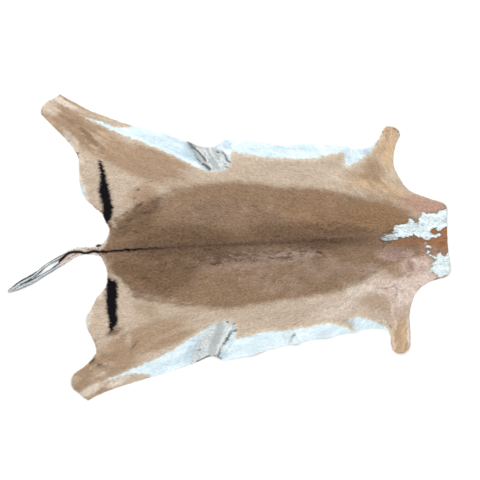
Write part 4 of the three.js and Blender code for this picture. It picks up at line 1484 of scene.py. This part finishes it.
def long_hair_tree(material):
    """Long hairs that follow the way of a guide line, each a narrow tapered roof."""
    tree, given = geometry_tree("long hair", {
        "Hairs": "Int", "Length": "Float", "Width": "Float", "Height": "Float", "Seed": "Int",
    })
    guide = tree.add("GeometryNodeMeshToCurve", values={"Mesh": given["Geometry"]})
    whole = tree.add("GeometryNodeCurveLength", values={"Curve": guide})
    points = tree.add("GeometryNodePoints", values={"Count": given["Hairs"]})
    points = store_draws(tree, points, [
        ("start", 0.0, 1.0), ("side", -1.0, 1.0), ("strand", 0.0, 1.0), ("loft", 0.0, 1.0),
        ("stretch", 0.6, 1.2), ("sway", -1.0, 1.0),
    ], given["Seed"], 0)
    straight = tree.add(
        "GeometryNodeCurvePrimitiveLine", values={"Start": (0, 0, 0), "End": (1, 0, 0)}
    )
    straight = tree.add("GeometryNodeResampleCurve", values={"Curve": straight, "Count": 7})
    hairs = tree.add("GeometryNodeInstanceOnPoints", values={"Points": points, "Instance": straight})
    hairs = tree.add("GeometryNodeRealizeInstances", values={"Geometry": hairs})
    part = tree.add("GeometryNodeSplineParameter", output="Factor")
    reach = given["Length"] * stored(tree, "stretch") / whole
    start = stored(tree, "start") * (1.0 - reach * 0.7)
    half = tree.add(
        "GeometryNodeSampleCurve", {"mode": "FACTOR", "data_type": "FLOAT"},
        {"Curves": guide, "Value": stored(tree, "half"), "Factor": start + part * reach},
    )
    middle, way = tree.other(half, "Position"), tree.other(half, "Tangent")
    across = tree.on_vectors("CROSS_PRODUCT", (0, 0, 1), way)
    side = stored(tree, "side")
    bend = stored(tree, "sway") * part * part
    off = half * (side * (1.0 - part * 0.25) + bend * 0.22)
    round_side = 1.0 - side * side * 0.8
    dome = round_side.math("SQRT", round_side)
    arch = part * (1.0 - part) * 4.0
    height = given["Height"] * dome * (0.5 + stored(tree, "loft") * 0.38 + arch * 0.12)
    moved = tree.on_vectors("ADD", middle, tree.scaled(across, off))
    moved = tree.on_vectors("ADD", moved, tree.vector(0.0, 0.0, height))
    hairs = tree.add("GeometryNodeSetPosition", values={"Geometry": hairs, "Position": moved})
    hairs = tree.add("GeometryNodeSetCurveNormal", {"mode": "Z_UP"}, {"Curve": hairs})
    hairs = store(tree, hairs, "root", tree.add("GeometryNodeInputPosition"), "FLOAT_VECTOR")
    roof = tree.add(
        "GeometryNodeCurveArc", {"mode": "RADIUS"},
        {"Resolution": 3, "Radius": 0.5, "Start Angle": math.radians(25),
         "Sweep Angle": math.radians(130)},
        "Curve",
    )
    taper = given["Width"] * (1.06 - part * part)
    hairs = tree.add(
        "GeometryNodeCurveToMesh", values={"Curve": hairs, "Profile Curve": roof, "Scale": taper}
    )
    end_tree(tree, hairs, material)
    return tree


# Build the skin
skin_mesh, ground_mesh = build_skin()
skin_mesh.materials.append(hair_ground_finish())
skin_mesh.materials.append(flesh_finish())
hide = new_piece("hide_skin", skin_mesh)

# Grow the short coat on it, in slices from the tail to the neck
LEAF = [(0, 0, 0), (0.45, -0.5, 0.62), (0.45, 0.5, 0.62), (1, 0, 0.9)]
hair_mesh = bpy.data.meshes.new("one hair")
hair_mesh.from_pydata(LEAF, [], [(0, 1, 2), (1, 3, 2)])
note(hair_mesh, "along", [x for x, _, _ in LEAF])
one_hair = new_piece("one hair", hair_mesh)
ground = new_piece("hair ground", ground_mesh)
COAT = coat_tree(hair_finish())
SLICES = [
    ("hair_rump", -1.0, -0.245), ("hair_loin", -0.245, -0.045), ("hair_ribs", -0.045, 0.145),
    ("hair_shoulder", 0.145, 0.345), ("hair_neck", 0.345, 1.0),
]
share = 1.0
coat = []
for name, start, end in SLICES:
    piece = grown(ground, COAT, {
        "Hair": one_hair, "Amount": HAIRS * share, "Width": HAIR_WIDTH * MM / math.sqrt(share),
        "From": start, "To": end, "Seed": COAT_SEED,
    }, name)
    lay_map(piece, *COAT_MAP)
    coat.append(piece)
for helper in (one_hair, ground):
    bpy.data.objects.remove(helper)

# Lay the tail's skin and its long hair
tail = new_piece("tail_skin", build_tail())
tail.data.materials.append(tail_finish("skin of the tail", False))
LONG_HAIR = long_hair_tree(tail_finish("long tail hair", True))
tail_hair = []
for name, rows, hairs, length, seed, edges in TAIL_WAYS:
    line = soft_line(rows, 4)
    guide_mesh = bpy.data.meshes.new("guide")
    guide_mesh.from_pydata(
        [(x * MM, y * MM, 0) for x, y, _ in line], [(k, k + 1) for k in range(len(line) - 1)], []
    )
    note(guide_mesh, "half", line[:, 2] * MM)
    guide = new_piece("guide", guide_mesh)
    piece = grown(guide, LONG_HAIR, {
        "Hairs": hairs, "Length": length * MM, "Width": LONG_HAIR_WIDTH * MM,
        "Height": LONG_HAIR_HEIGHT * MM, "Seed": seed,
    }, name)
    bpy.data.objects.remove(guide)
    side = np.empty(len(piece.data.vertices), np.float32)
    piece.data.attributes["side"].data.foreach_get("value", side)
    if edges == "pale outer edge":
        edge = -side
    else:
        edge = np.abs(side) if edges == "dark edges" else np.full_like(side, TUFT_EDGE)
    note_line(piece.data, edge)
    lay_map(piece, *TAIL_MAP)
    tail_hair.append(piece)

for piece in [hide, *coat]:
    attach(piece, BODY)
for piece in [tail, *tail_hair]:
    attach(piece, BODY)
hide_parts("hide")
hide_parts("tail")

# Floor and light
FLOOR_HALF = 4000
FLOOR_DROP = 0.3
FLOOR_WHITE = (0.94, 0.94, 0.94, 1)
ROOM_WHITE = (1, 1, 1, 1)
ROOM_LIGHT = 0.8
corners = [
    (x * FLOOR_HALF, y * FLOOR_HALF, -FLOOR_DROP) for x, y in ((-1, -1), (1, -1), (1, 1), (-1, 1))
]
floor_mesh = new_mesh("floor", corners, [(0, 1, 2, 3)])
floor = new_piece("floor", floor_mesh)
floor_finish, floor_tree, floor_shader = new_finish("pale floor")
set_shader(floor_tree, floor_shader, {
    "Base Color": FLOOR_WHITE, "Roughness": 0.9, "Specular IOR Level": 0.1,
})
floor_mesh.materials.append(floor_finish)

world = bpy.data.worlds.new("soft room")
world.use_nodes = True
background = world.node_tree.nodes["Background"]
background.inputs["Color"].default_value = ROOM_WHITE
background.inputs["Strength"].default_value = ROOM_LIGHT
bpy.context.scene.world = world

LAMPS = [  # name, place in metres, width, power
    ("large soft lamp", (-1.1, 1.5, 2.3), 1.4, 36),
    ("small fill lamp", (1.6, -1.2, 2.4), 1.6, 10),
]
for name, place, width, power in LAMPS:
    lamp_data = bpy.data.lights.new(name, "AREA")
    lamp_data.shape = "DISK"
    lamp_data.size = width
    lamp_data.energy = power
    lamp = bpy.data.objects.new(name, lamp_data)
    lamp.location = place
    aim = -np.array(place)
    lamp.rotation_euler = (
        math.atan2(math.hypot(aim[0], aim[1]), -aim[2]), 0, math.atan2(aim[1], aim[0]) - math.pi / 2
    )
    bpy.context.scene.collection.objects.link(lamp)
